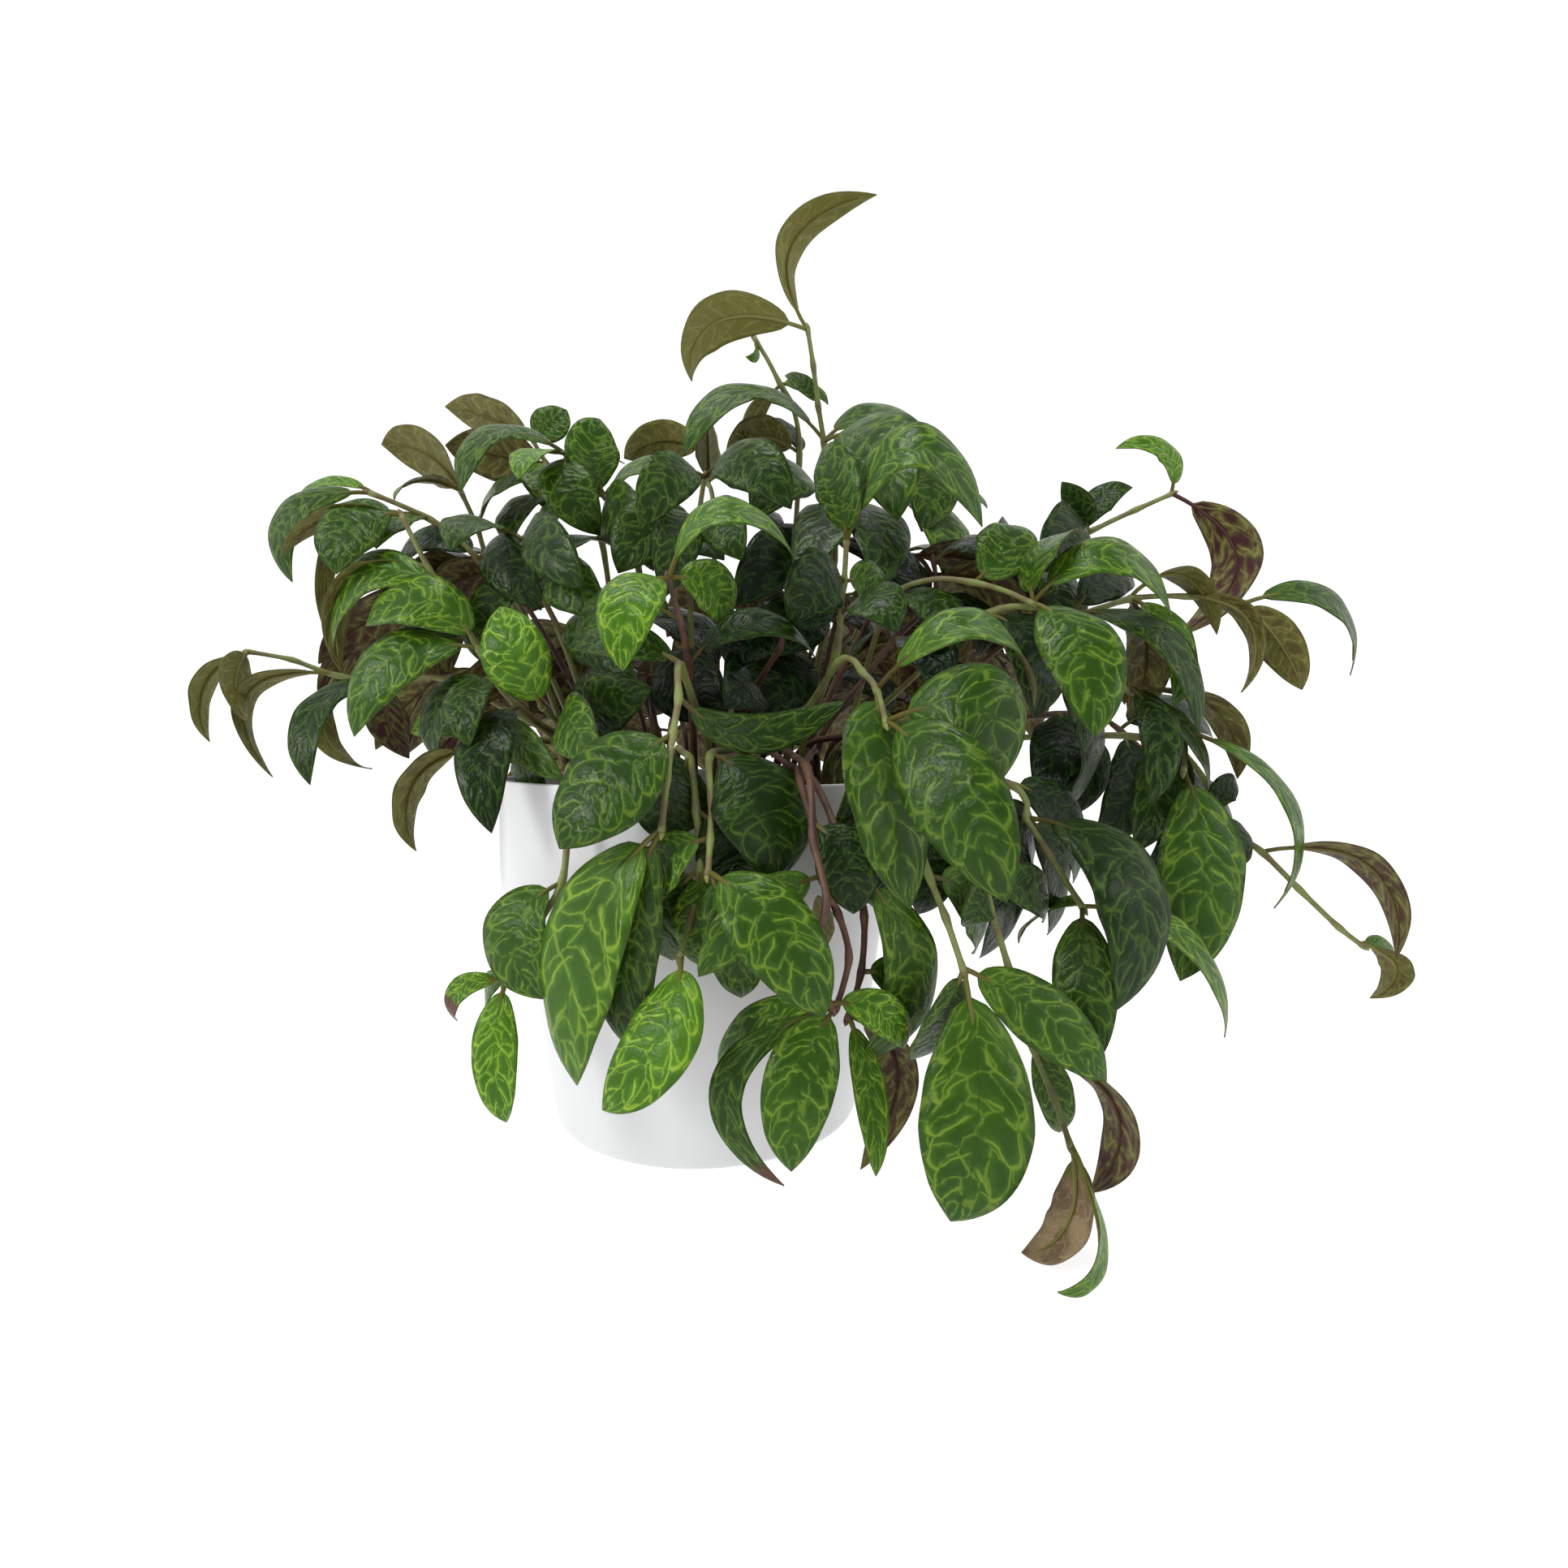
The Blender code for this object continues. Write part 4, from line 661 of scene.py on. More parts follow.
def coarse_turned(profile: Sequence[tuple[float, float]], sides: int) -> Shape:
    """Turn a profile of (radius, height) round the axis.

    Args:
        profile: The profile from the axis and back to it.
        sides: How many sides the turned shape has.

    Returns:
        Its corners and faces.
    """
    corners: list[Vector] = []
    rings = []
    for radius, height in profile:
        if radius == 0:
            rings.append([len(corners)] * sides)
            corners.append(Vector((0, 0, height)))
            continue
        rings.append([len(corners) + k for k in range(sides)])
        corners += [Vector((radius * math.cos(math.tau * k / sides),
                            radius * math.sin(math.tau * k / sides), height)) for k in range(sides)]
    faces = []
    for low, high in zip(rings, rings[1:]):
        for k in range(sides):
            after = (k + 1) % sides
            faces.append(tuple(dict.fromkeys([low[k], low[after], high[after], high[k]])))
    return corners, faces


def pot_profile() -> list[tuple[float, float]]:
    """Give the solid pot's wall from the middle of its base, up outside and down inside."""
    collar = RIM_RADIUS - COLLAR_ROUND * 0.9
    inner_rim = RIM_RADIUS - POT_WALL
    return [(0, 0), (BASE_RADIUS - BASE_ROUND, 0), (BASE_RADIUS, BASE_ROUND),
            (BODY_TOP_RADIUS, COLLAR_FOOT - COLLAR_ROUND), (collar, COLLAR_FOOT - COLLAR_ROUND),
            (RIM_RADIUS, COLLAR_FOOT), (RIM_RADIUS, POT_HEIGHT), (inner_rim, POT_HEIGHT),
            (inner_rim, COLLAR_FOOT), (BODY_TOP_RADIUS - POT_WALL, COLLAR_FOOT - COLLAR_ROUND),
            (BASE_RADIUS - POT_WALL, POT_FLOOR), (0, POT_FLOOR)]


def soil_profile() -> list[tuple[float, float]]:
    """Give the solid soil's side and its low mound."""
    inner = RIM_RADIUS - POT_WALL - GAP
    mound = [(inner * part, SOIL_EDGE + SOIL_CROWN * (1 - part * part)) for part in (1.0, 0.75, 0.4)]
    return [(0, POT_FLOOR + GAP), (BASE_RADIUS - POT_WALL - GAP, POT_FLOOR + GAP),
            (BODY_TOP_RADIUS - POT_WALL - GAP, COLLAR_FOOT - COLLAR_ROUND),
            (inner, COLLAR_FOOT), *mound, (0, SOIL_EDGE + SOIL_CROWN)]


def soil_height(spot: Vector) -> float:
    """Give the height of the soil's low mound at a spot."""
    inner = RIM_RADIUS - POT_WALL - GAP
    return SOIL_EDGE + SOIL_CROWN * (1 - (math.hypot(spot.x, spot.y) / inner) ** 2)


def root_places(stems: Sequence[Stem]) -> list[Vector]:
    """Find where each stem leaves the soil: under its first node, well apart.

    Args:
        stems: The plant's stems.

    Returns:
        A spot on the ground plan for each of them.
    """
    taken: list[Vector] = []
    for stem in stems:
        start = stem.spots[0]
        heading = math.atan2(start.y, start.x)
        reach = min(ROOT_REACH, ROOT_INWARD * math.hypot(start.x, start.y))
        for shrink, swing in ((s, w) for s in ROOT_SHRINKS for w in ROOT_SWINGS):
            angle = heading + math.radians(swing)
            spot = Vector((math.cos(angle), math.sin(angle), 0)) * reach * shrink
            if all((spot - other).length >= ROOT_SPACING for other in taken):
                taken.append(spot)
                break
        else:
            raise ValueError(f"no room for {stem.name}")
    return taken


# How far a leaf's tip may be moved so that it is clear, nearest first
NUDGES = [Vector((0, dy, dz)) for dz in (0, 4, -4, 9, -9, 16)
          for dy in (0, 5, -5, 10, -10, 16, -16, 24, -24, 34, -34, 46)]
NUDGES.sort(key=lambda move: abs(move.y) + 1.6 * abs(move.z))
SHORTER = (1.0, 0.86, 0.72)

# How far a whole stem may step aside so that it crosses no other, nearest first
SIDESTEPS = [Vector((dx, dy, dz)) for dx in (0, 3, -3, 6, -6) for dy in (0, 3, -3, 7, -7, 12, -12)
             for dz in (0, 3, -3, 6)]
SIDESTEPS.sort(key=lambda move: 2 * abs(move.x) + abs(move.y) + 2 * abs(move.z))


def tree_of(shape: Shape) -> BVHTree:
    """Give a search tree over a shape, to test what crosses it."""
    return BVHTree.FromPolygons(*shape)


def node_spot(node: int) -> int:
    """Give a node's place among the points of its stem's line."""
    return LOW_POINTS + (node + 1) * STEM_STEPS


class Plant:
    """All the stems and leaves, each one clear of what other stems carry."""

    def __init__(self, stems: Sequence[Stem], solids: Sequence[Shape]) -> None:
        """Lay the stems, then the leaves.

        Args:
            stems: The stems, with points for spots.
            solids: The pot and the soil, which nothing crosses.
        """
        self.stems = stems
        self.solids = [tree_of(shape) for shape in solids]
        self.routes: list[list[Vector]] = []
        self.tubes: list[Shape] = []
        self.leaves: list[list[Midrib]] = [[] for _ in stems]
        self.places: list[list[int]] = [[] for _ in stems]
        self.lay_stems()
        self.lay_leaves()

    def lay_stems(self) -> None:
        """Run each stem from its hole through its nodes, stepped aside where one is in the way."""
        trees: list[BVHTree] = []
        for stem, root in zip(self.stems, root_places(self.stems)):
            for shift in SIDESTEPS:
                route = self.route(root, [spot + shift for spot in stem.spots])
                swollen = tree_of(coarse_tube(route, STEM_THICK + STEM_CLEAR, STEM_THIN + STEM_CLEAR))
                if not any(swollen.overlap(tree) for tree in trees):
                    break
            self.routes.append(route)
            self.tubes.append(coarse_tube(route, STEM_THICK, STEM_THIN))
            trees.append(tree_of(self.tubes[-1]))

    def route(self, root: Vector, spots: Sequence[Vector]) -> list[Vector]:
        """Give a stem's line: up out of its hole, then smoothly through its nodes.

        Args:
            root: Its spot on the ground plan.
            spots: Its nodes.

        Returns:
            The points of the line.
        """
        foot = root + Vector((0, 0, soil_height(root) - HOLE_DEPTH + 2 * GAP))
        neck = foot + Vector((0, 0, HOLE_DEPTH + NECK_RISE))
        rise = foot + Vector((0, 0, HOLE_DEPTH + STEM_RISE)) + STEM_LEAN * (spots[0] - foot)
        return [foot, neck, *smooth([rise, *spots], STEM_STEPS)]

    def node_point(self, index: int, node: int) -> Vector:
        """Give the point of a stem where its leaves of one node grow, short of its very end."""
        route = self.routes[index]
        spot = node_spot(node)
        if spot < len(route) - 1:
            return route[spot]
        return route[spot] + END_SINK * (route[spot - 1] - route[spot]).normalized()

    def lay_leaves(self) -> None:
        """Place the leaves in order, each with the least nudge that clears it."""
        trees = [tree_of(shape) for shape in self.tubes]
        grown = list(self.solids)
        for index, stem in enumerate(self.stems):
            others = grown + [tree for k, tree in enumerate(trees) if k != index]
            siblings: list[BVHTree] = []
            for rank, leaf in enumerate(stem.leaves):
                midrib = self.clear_midrib(index, leaf, others, siblings)
                if midrib is None:
                    continue
                self.leaves[index].append(midrib)
                self.places[index].append(rank)
                siblings.append(tree_of(coarse_blade(midrib, 0.0, 1)))
            grown += [tree_of(coarse_blade(midrib)) for midrib in self.leaves[index]]

    def clear_midrib(self, index: int, leaf: Leaf, others: Sequence[BVHTree],
                     siblings: Sequence[BVHTree]) -> Midrib | None:
        """Find the first midrib near the wished one whose blade crosses nothing.

        Args:
            index: The stem it grows on.
            leaf: The leaf.
            others: What other stems carry, and the pot and the soil.
            siblings: The leaves already on this stem.

        Returns:
            The midrib, or None where there is no room.
        """
        stagger = NODE_STAGGER * (1 + len(siblings) % STAGGER_TURNS)
        base = self.node_point(index, leaf.node) + stagger
        tip = leaf.tip if isinstance(leaf.tip, Vector) else place(leaf.tip)
        for shorten, nudge in ((short, move) for short in SHORTER for move in NUDGES):
            midrib = Midrib(leaf, base, base + (tip + nudge - base) * shorten)
            whole = coarse_blade(midrib, TEST_SWELL)
            if min(corner.z for corner in whole[0]) < FLOOR_CLEAR:
                continue
            swollen = tree_of(whole)
            if any(swollen.overlap(tree) for tree in others):
                continue
            outer = tree_of(coarse_blade(midrib, TEST_SWELL, 2))
            if any(outer.overlap(tree) for tree in siblings):
                continue
            return midrib
        return None


class Desk:
    """A hand for laying out one material's nodes."""

    def __init__(self, name: str) -> None:
        """Start a material with a Principled shader.

        Args:
            name: The material's name.
        """
        self.material = bpy.data.materials.new(name)
        self.material.use_nodes = True
        self.tree = self.material.node_tree
        self.shader = self.tree.nodes["Principled BSDF"]

    def put(self, kind: str, **settings: object) -> bpy.types.Node:
        """Add a node of a kind, with its settings."""
        node = self.tree.nodes.new(kind)
        for name, value in settings.items():
            setattr(node, name, value)
        return node

    def feed(self, socket: Socket, value: Feed) -> None:
        """Set a socket to a number or colour, or link it to another socket."""
        if isinstance(value, bpy.types.NodeSocket):
            self.tree.links.new(value, socket)
        elif isinstance(value, tuple) and len(value) == 3 and len(socket.default_value) == 4:
            socket.default_value = (*value, 1.0)
        else:
            socket.default_value = value

    def math(self, operation: str, *values: Feed) -> Socket:
        """Add a Math node and give its result."""
        node = self.put("ShaderNodeMath", operation=operation)
        for socket, value in zip(node.inputs, values):
            self.feed(socket, value)
        return node.outputs[0]

    def plus(self, first: Feed, second: Feed) -> Socket:
        """Add two numbers."""
        return self.math("ADD", first, second)

    def less(self, first: Feed, second: Feed) -> Socket:
        """Take the second number from the first."""
        return self.math("SUBTRACT", first, second)

    def times(self, first: Feed, second: Feed) -> Socket:
        """Multiply two numbers."""
        return self.math("MULTIPLY", first, second)

    def greater(self, first: Feed, second: Feed) -> Socket:
        """Give the greater of two numbers."""
        return self.math("MAXIMUM", first, second)

    def size_of(self, value: Feed) -> Socket:
        """Give a number without its sign."""
        return self.math("ABSOLUTE", value)

    def step(self, value: Feed, low: float, high: float) -> Socket:
        """Give 0 below low and 1 above high, smoothly; the other way round if low is the greater."""
        node = self.put("ShaderNodeMapRange", interpolation_type="SMOOTHSTEP")
        self.feed(node.inputs["Value"], value)
        turned = low > high
        self.feed(node.inputs["From Min"], min(low, high))
        self.feed(node.inputs["From Max"], max(low, high))
        self.feed(node.inputs["To Min"], 1.0 if turned else 0.0)
        self.feed(node.inputs["To Max"], 0.0 if turned else 1.0)
        return node.outputs["Result"]

    def mix(self, share: Feed, first: Feed, second: Feed) -> Socket:
        """Mix two colours by a share and give the colour."""
        node = self.put("ShaderNodeMix", data_type="RGBA")
        self.feed(node.inputs[0], share)
        self.feed(node.inputs[6], first)
        self.feed(node.inputs[7], second)
        return node.outputs[2]

    def noise(self, vector: Feed, scale: float, detail: float) -> bpy.types.Node:
        """Add a noise texture over a vector and give the node."""
        node = self.put("ShaderNodeTexNoise")
        self.feed(node.inputs["Vector"], vector)
        node.inputs["Scale"].default_value = scale
        node.inputs["Detail"].default_value = detail
        return node

    def grain(self, scale: float, detail: float) -> Socket:
        """Give a noise over the object's own places."""
        return self.noise(self.place(), scale, detail).outputs["Fac"]

    def cells(self, vector: Feed) -> Socket:
        """Give how far a spot lies from the borders of scattered cells, one unit apart."""
        node = self.put("ShaderNodeTexVoronoi", feature="DISTANCE_TO_EDGE")
        self.feed(node.inputs["Vector"], vector)
        node.inputs["Scale"].default_value = 1.0
        return node.outputs["Distance"]

    def vector(self, x: Feed, y: Feed, z: Feed) -> Socket:
        """Join three numbers in a vector."""
        node = self.put("ShaderNodeCombineXYZ")
        for socket, value in zip(node.inputs, (x, y, z)):
            self.feed(socket, value)
        return node.outputs[0]

    def split(self, value: Socket) -> bpy.types.NodeOutputs:
        """Split a vector into its three numbers."""
        node = self.put("ShaderNodeSeparateXYZ")
        self.feed(node.inputs[0], value)
        return node.outputs

    def place(self) -> Socket:
        """Give the Object coordinates."""
        return self.put("ShaderNodeTexCoord").outputs["Object"]

    def bump(self, height: Feed, distance: float, strength: float) -> None:
        """Lead a height to the shader's normal."""
        node = self.put("ShaderNodeBump")
        node.inputs["Distance"].default_value = distance
        node.inputs["Strength"].default_value = strength
        self.feed(node.inputs["Height"], height)
        self.feed(self.shader.inputs["Normal"], node.outputs[0])

    def paint(self, **values: Feed) -> bpy.types.Material:
        """Feed the shader's named sockets and give the material."""
        for name, value in values.items():
            self.feed(self.shader.inputs[name.replace("_", " ")], value)
        return self.material


class Side(Enum):
    """The two sides of a blade, by their place among a stem's materials."""

    TOP = 1
    UNDER = 2


@dataclass(frozen=True)
class VeinPlan:
    """How a blade's veins run: side veins whose ends loop forward, each to the next.

    Attributes:
        pairs: How many side veins each half has.
        other_half: How far on the other half's side veins stand, of the way from vein to vein.
        forward: How far a side vein runs forward on its way to the edge.
        rim: How far out the loops reach, of the way to the edge.
        cusp: How far out they meet the side veins.
        width: A vein's width, of the way from vein to vein.
        warp: How crooked all of it is.
        mesh_along: How many cells of the fine mesh follow each other along the blade.
        mesh_across: How many of them lie side by side.
        seed_spread: How far apart two leaves' noises may lie.
    """

    pairs: float = 6.0
    other_half: float = 0.45
    forward: float = 0.22
    rim: float = 0.84
    cusp: float = 0.66
    width: float = 0.085
    warp: float = 0.045
    mesh_along: float = 7.5
    mesh_across: float = 2.9
    seed_spread: float = 61.0


@dataclass(frozen=True)
class Veins:
    """A blade's veins: their lines, their glow, the way from the midrib and a patchy noise."""

    lines: Socket
    glow: Socket
    away: Socket
    patch: Socket


class VeinNet:
    """The net of one blade's veins, drawn on its crooked map."""

    def __init__(self, desk: Desk, plan: VeinPlan, chart: tuple[Socket, Socket], seed: Socket) -> None:
        """Make the blade's map crooked, each leaf's in its own way.

        Args:
            desk: The material's desk.
            plan: How the veins run.
            chart: The map's way from the base to the tip, and from edge to edge.
            seed: A number of the leaf's own.
        """
        self.desk, self.plan, self.seed = desk, plan, seed
        self.along, self.across = chart
        self.shift = desk.times(seed, plan.seed_spread)
        self.long_way = desk.times(self.along, 6.0)
        self.cross_way = desk.times(self.across, 2.0)
        wander = desk.noise(desk.vector(self.long_way, self.cross_way, self.shift), 1.1, 3.0)
        one, two, _ = desk.split(wander.outputs["Color"])
        self.wave = desk.times(desk.less(one, 0.5), plan.warp * 3.2)
        self.bent = desk.plus(self.along, self.wave)
        self.span = desk.size_of(desk.less(desk.times(self.across, 2.0), 1.0))
        self.away = desk.plus(self.span, desk.times(desk.less(two, 0.5), plan.warp * 5))
        self.bow = desk.times(desk.math("POWER", desk.greater(self.away, 0.0), 1.5), plan.forward)

    def turn(self) -> Socket:
        """Give how far a spot stands on the way from one side vein to the next."""
        desk, plan = self.desk, self.plan
        half = desk.times(desk.math("GREATER_THAN", self.across, 0.5), plan.other_half)
        count = desk.times(desk.less(self.bent, self.bow), plan.pairs)
        return desk.math("FRACT", desk.plus(count, desk.plus(half, self.seed)))

    def near_vein(self, turn: Socket) -> Socket:
        """Give a spot's way to the nearest side vein."""
        desk = self.desk
        gap = desk.less(1.0, desk.times(desk.size_of(desk.less(turn, 0.5)), 2.0))
        return desk.math("DIVIDE", gap, self.plan.width * 1.5)

    def near_rim(self, turn: Socket) -> Socket:
        """Give a spot's way to the loops that join the side veins' ends."""
        desk, plan = self.desk, self.plan
        swell = desk.math("SINE", desk.times(desk.math("POWER", turn, 0.8), math.pi))
        loop = desk.plus(plan.cusp, desk.times(swell, plan.rim - plan.cusp))
        return desk.math("DIVIDE", desk.size_of(desk.less(self.away, loop)), plan.width * 0.6)

    def near_mesh(self) -> Socket:
        """Give a spot's way to the fine mesh between the veins."""
        desk, plan = self.desk, self.plan
        slant = desk.less(self.bent, desk.times(self.bow, 0.7))
        sway = desk.plus(self.across, desk.times(self.wave, 1.4))
        return desk.cells(desk.vector(desk.times(slant, plan.mesh_along),
                                      desk.times(sway, plan.mesh_across), self.shift))

    def patches(self) -> tuple[Socket, Socket]:
        """Give two patchy noises, which fade the veins here and there."""
        desk = self.desk
        wide = desk.vector(desk.times(self.long_way, 1.6), desk.times(self.cross_way, 1.6), self.shift)
        close = desk.vector(self.long_way, desk.times(self.cross_way, 1.7), desk.plus(self.shift, 9.0))
        return desk.noise(wide, 1.5, 2.0).outputs["Fac"], desk.noise(close, 2.3, 2.0).outputs["Fac"]

    def draw(self) -> Veins:
        """Draw the side veins, their loops and the fine mesh, with a glow round them."""
        desk, cusp = self.desk, self.plan.cusp
        turn = self.turn()
        near, rim, cell = self.near_vein(turn), self.near_rim(turn), self.near_mesh()
        patch, other = self.patches()
        inside = desk.times(desk.step(self.away, cusp + 0.05, cusp - 0.03),
                            desk.step(self.away, 0.03, 0.2))
        cover = desk.step(other, 0.3, 0.52)
        arches = desk.times(desk.step(near, 1.25, 0.2), inside)
        ring = desk.times(desk.step(rim, 1.1, 0.2), desk.step(self.along, 0.03, 0.12))
        mesh = desk.times(desk.step(cell, 0.055, 0.012), desk.times(cover, 0.62))
        lines = desk.greater(desk.times(arches, desk.step(patch, 0.24, 0.42)),
                             desk.times(ring, desk.step(other, 0.28, 0.5)))
        glow = desk.greater(desk.times(desk.step(near, 5.0, 0.0), inside), desk.step(rim, 4.0, 0.0))
        glow = desk.greater(glow, desk.times(desk.step(cell, 0.22, 0.0), desk.times(cover, 0.9)))
        glow = desk.times(glow, desk.step(patch, 0.24, 0.56))
        return Veins(desk.greater(lines, mesh), glow, self.span, patch)


@dataclass(frozen=True)
class BladeFinish:
    """The waxy netted upper side, or the olive and maroon underside.

    A pair of colours is that of the darkest and of the brightest leaves.
    """

    side: Side
    plan: VeinPlan = VeinPlan()
    green: tuple[Colour, Colour] = ((0.001, 0.005, 0.001), (0.052, 0.150, 0.006))
    glow_green: tuple[Colour, Colour] = ((0.004, 0.016, 0.003), (0.120, 0.290, 0.014))
    vein_green: tuple[Colour, Colour] = ((0.02, 0.055, 0.008), (0.37, 0.54, 0.05))
    rim_brown: Colour = (0.07, 0.06, 0.02)
    dead_brown: Colour = (0.09, 0.035, 0.018)
    olive: tuple[Colour, Colour] = ((0.085, 0.078, 0.017), (0.165, 0.160, 0.028))
    glow_olive: Colour = (0.21, 0.20, 0.055)
    vein_olive: Colour = (0.30, 0.285, 0.10)
    maroon: Colour = (0.050, 0.012, 0.014)
    rib_tan: Colour = (0.22, 0.15, 0.07)
    husk_pale: Colour = (0.25, 0.18, 0.095)
    husk_brown: Colour = (0.13, 0.085, 0.045)
    husk_vein: Colour = (0.36, 0.29, 0.17)

    def material(self) -> bpy.types.Material:
        """Make this side's material."""
        desk = Desk(f"blade_{self.side.name.lower()}")
        code = desk.put("ShaderNodeAttribute", attribute_name=CODE_LAYER)
        seed, tone, stain = desk.split(code.outputs["Color"])
        along, across, _ = desk.split(desk.put("ShaderNodeUVMap", uv_map=CHART_LAYER).outputs[0])
        veins = VeinNet(desk, self.plan, (along, across), seed).draw()
        tone = desk.math("POWER", tone, 1.5)
        start = desk.less(1.02, code.outputs["Alpha"])
        dead = desk.step(desk.less(along, start), -0.03, 0.05)
        if self.side is Side.TOP:
            return self.top(desk, veins, tone, dead, along)
        return self.under(desk, veins, tone, dead, stain)

    def top(self, desk: Desk, veins: Veins, tone: Socket, dead: Socket,
            along: Socket) -> bpy.types.Material:
        """Paint the upper side: dark green with a yellow-green net, waxy.

        Args:
            desk: The material's desk.
            veins: The blade's veins.
            tone: How bright the leaf is.
            dead: How dry and brown the spot is.
            along: The map's way from the base to the tip.

        Returns:
            The material.
        """
        ground = desk.mix(tone, *self.green)
        bright = desk.mix(tone, *self.glow_green)
        colour = desk.mix(desk.times(veins.glow, 0.8), ground, bright)
        colour = desk.mix(desk.times(desk.step(along, 0.3, 0.0), 0.5), colour, bright)
        colour = desk.mix(desk.times(veins.lines, 0.85), colour, desk.mix(tone, *self.vein_green))
        cloud = desk.step(desk.grain(45.0, 3.0), 0.4, 0.7)
        colour = desk.mix(desk.times(cloud, 0.22), colour, bright)
        rib = desk.step(veins.away, 0.035, 0.008)
        colour = desk.mix(desk.times(rib, 0.55), colour, ground)
        edge = desk.step(veins.away, 0.975, 0.997)
        colour = desk.mix(desk.times(edge, 0.6), colour, self.rim_brown)
        colour = desk.mix(dead, colour, self.dead_brown)
        fine = desk.grain(800.0, 3.0)
        desk.bump(desk.less(desk.times(fine, 0.55), desk.times(veins.glow, 0.9)), 0.0005, 0.6)
        gloss = desk.plus(0.20, desk.times(veins.patch, 0.26))
        return desk.paint(Base_Color=colour, Roughness=gloss, Specular_IOR_Level=0.18)

    def under(self, desk: Desk, veins: Veins, tone: Socket, dead: Socket,
              stain: Socket) -> bpy.types.Material:
        """Paint the underside: olive, stained maroon between paler veins.

        Args:
            desk: The material's desk.
            veins: The blade's veins.
            tone: How bright the leaf is.
            dead: How dry the spot is, like a husk.
            stain: How much of the leaf is maroon; on the far side's leaves partly as painted shade.

        Returns:
            The material.
        """
        colour = desk.mix(desk.times(veins.glow, 0.35), desk.mix(tone, *self.olive), self.glow_olive)
        colour = desk.mix(desk.times(veins.lines, 0.4), colour, self.vein_olive)
        blot = desk.grain(150.0, 3.0)
        start = desk.less(0.62, desk.times(stain, 0.34))
        patch = desk.times(desk.step(desk.less(blot, start), -0.05, 0.06),
                           desk.less(1.0, desk.times(veins.glow, 0.95)))
        colour = desk.mix(desk.times(patch, stain), colour, self.maroon)
        rib = desk.step(veins.away, 0.07, 0.02)
        colour = desk.mix(desk.times(rib, 0.5), colour, self.rib_tan)
        husk = desk.mix(desk.step(blot, 0.35, 0.65), self.husk_pale, self.husk_brown)
        husk = desk.mix(desk.times(veins.lines, 0.5), husk, self.husk_vein)
        colour = desk.mix(dead, colour, husk)
        desk.bump(desk.plus(veins.lines, veins.patch), 0.0003, 0.6)
        return desk.paint(Base_Color=colour, Roughness=0.5, Specular_IOR_Level=0.2)


@dataclass(frozen=True)
class BarkFinish:
    """A stem's skin, from olive green to old brown."""

    name: str
    young: Colour
    old: Colour

    def material(self) -> bpy.types.Material:
        """Make the skin, finely mottled."""
        desk = Desk(self.name)
        spots = desk.grain(130.0, 4.0)
        fine = desk.grain(1100.0, 3.0)
        colour = desk.mix(desk.step(spots, 0.42, 0.62), self.young, self.old)
        colour = desk.mix(desk.times(fine, 0.3), colour, self.old)
        desk.bump(fine, 0.0003, 0.5)
        return desk.paint(Base_Color=colour, Roughness=0.55)


@dataclass(frozen=True)
class PotFinish:
    """White moulded plastic with a soft sheen."""

    white: Colour = (0.69, 0.70, 0.705)
    shaded: Colour = (0.65, 0.665, 0.675)

    def material(self) -> bpy.types.Material:
        """Make the plastic, with faint darker streaks and ripples that run up and down its wall."""
        desk = Desk("pot_white")
        x, y, z = desk.split(desk.place())
        draw = desk.noise(desk.vector(x, y, desk.times(z, 0.18)), 55.0, 2.0).outputs["Fac"]
        fine = desk.grain(1400.0, 2.0)
        colour = desk.mix(desk.times(desk.step(draw, 0.4, 0.7), 0.35), self.white, self.shaded)
        desk.bump(desk.plus(desk.times(draw, 1.5), desk.times(fine, 0.12)), 0.0003, 0.35)
        gloss = desk.plus(0.36, desk.times(fine, 0.1))
        return desk.paint(Base_Color=colour, Roughness=gloss, Specular_IOR_Level=0.45)


@dataclass(frozen=True)
class SoilFinish:
    """Damp potting mix, dark with browner crumbs."""

    name: str
    dark: Colour
    light: Colour

    def material(self) -> bpy.types.Material:
        """Make the mix, rough and crumbly."""
        desk = Desk(self.name)
        crumbs = desk.grain(420.0, 5.0)
        colour = desk.mix(desk.step(crumbs, 0.42, 0.68), self.dark, self.light)
        desk.bump(crumbs, 0.0012, 0.8)
        return desk.paint(Base_Color=colour, Roughness=0.93, Specular_IOR_Level=0.2)


@dataclass(frozen=True)
class StageFinish:
    """The pale sheet that the pot stands on: it glows before the camera and dims behind it."""

    pale: Colour = (0.40, 0.40, 0.40)
    cloudy: Colour = (0.385, 0.385, 0.385)
    glow: float = 0.78
    dim: float = 0.12

    def material(self) -> bpy.types.Material:
        """Make the sheet, faintly uneven."""
        desk = Desk("stage_pale")
        colour = desk.mix(desk.times(desk.grain(6.0, 2.0), 0.3), self.pale, self.cloudy)
        _, y, _ = desk.split(desk.place())
        lit = desk.times(desk.step(y, -1.5, -0.5), self.glow - self.dim)
        return desk.paint(Base_Color=colour, Roughness=0.9, Emission_Color=(1.0, 1.0, 1.0),
                          Emission_Strength=desk.plus(lit, self.dim))


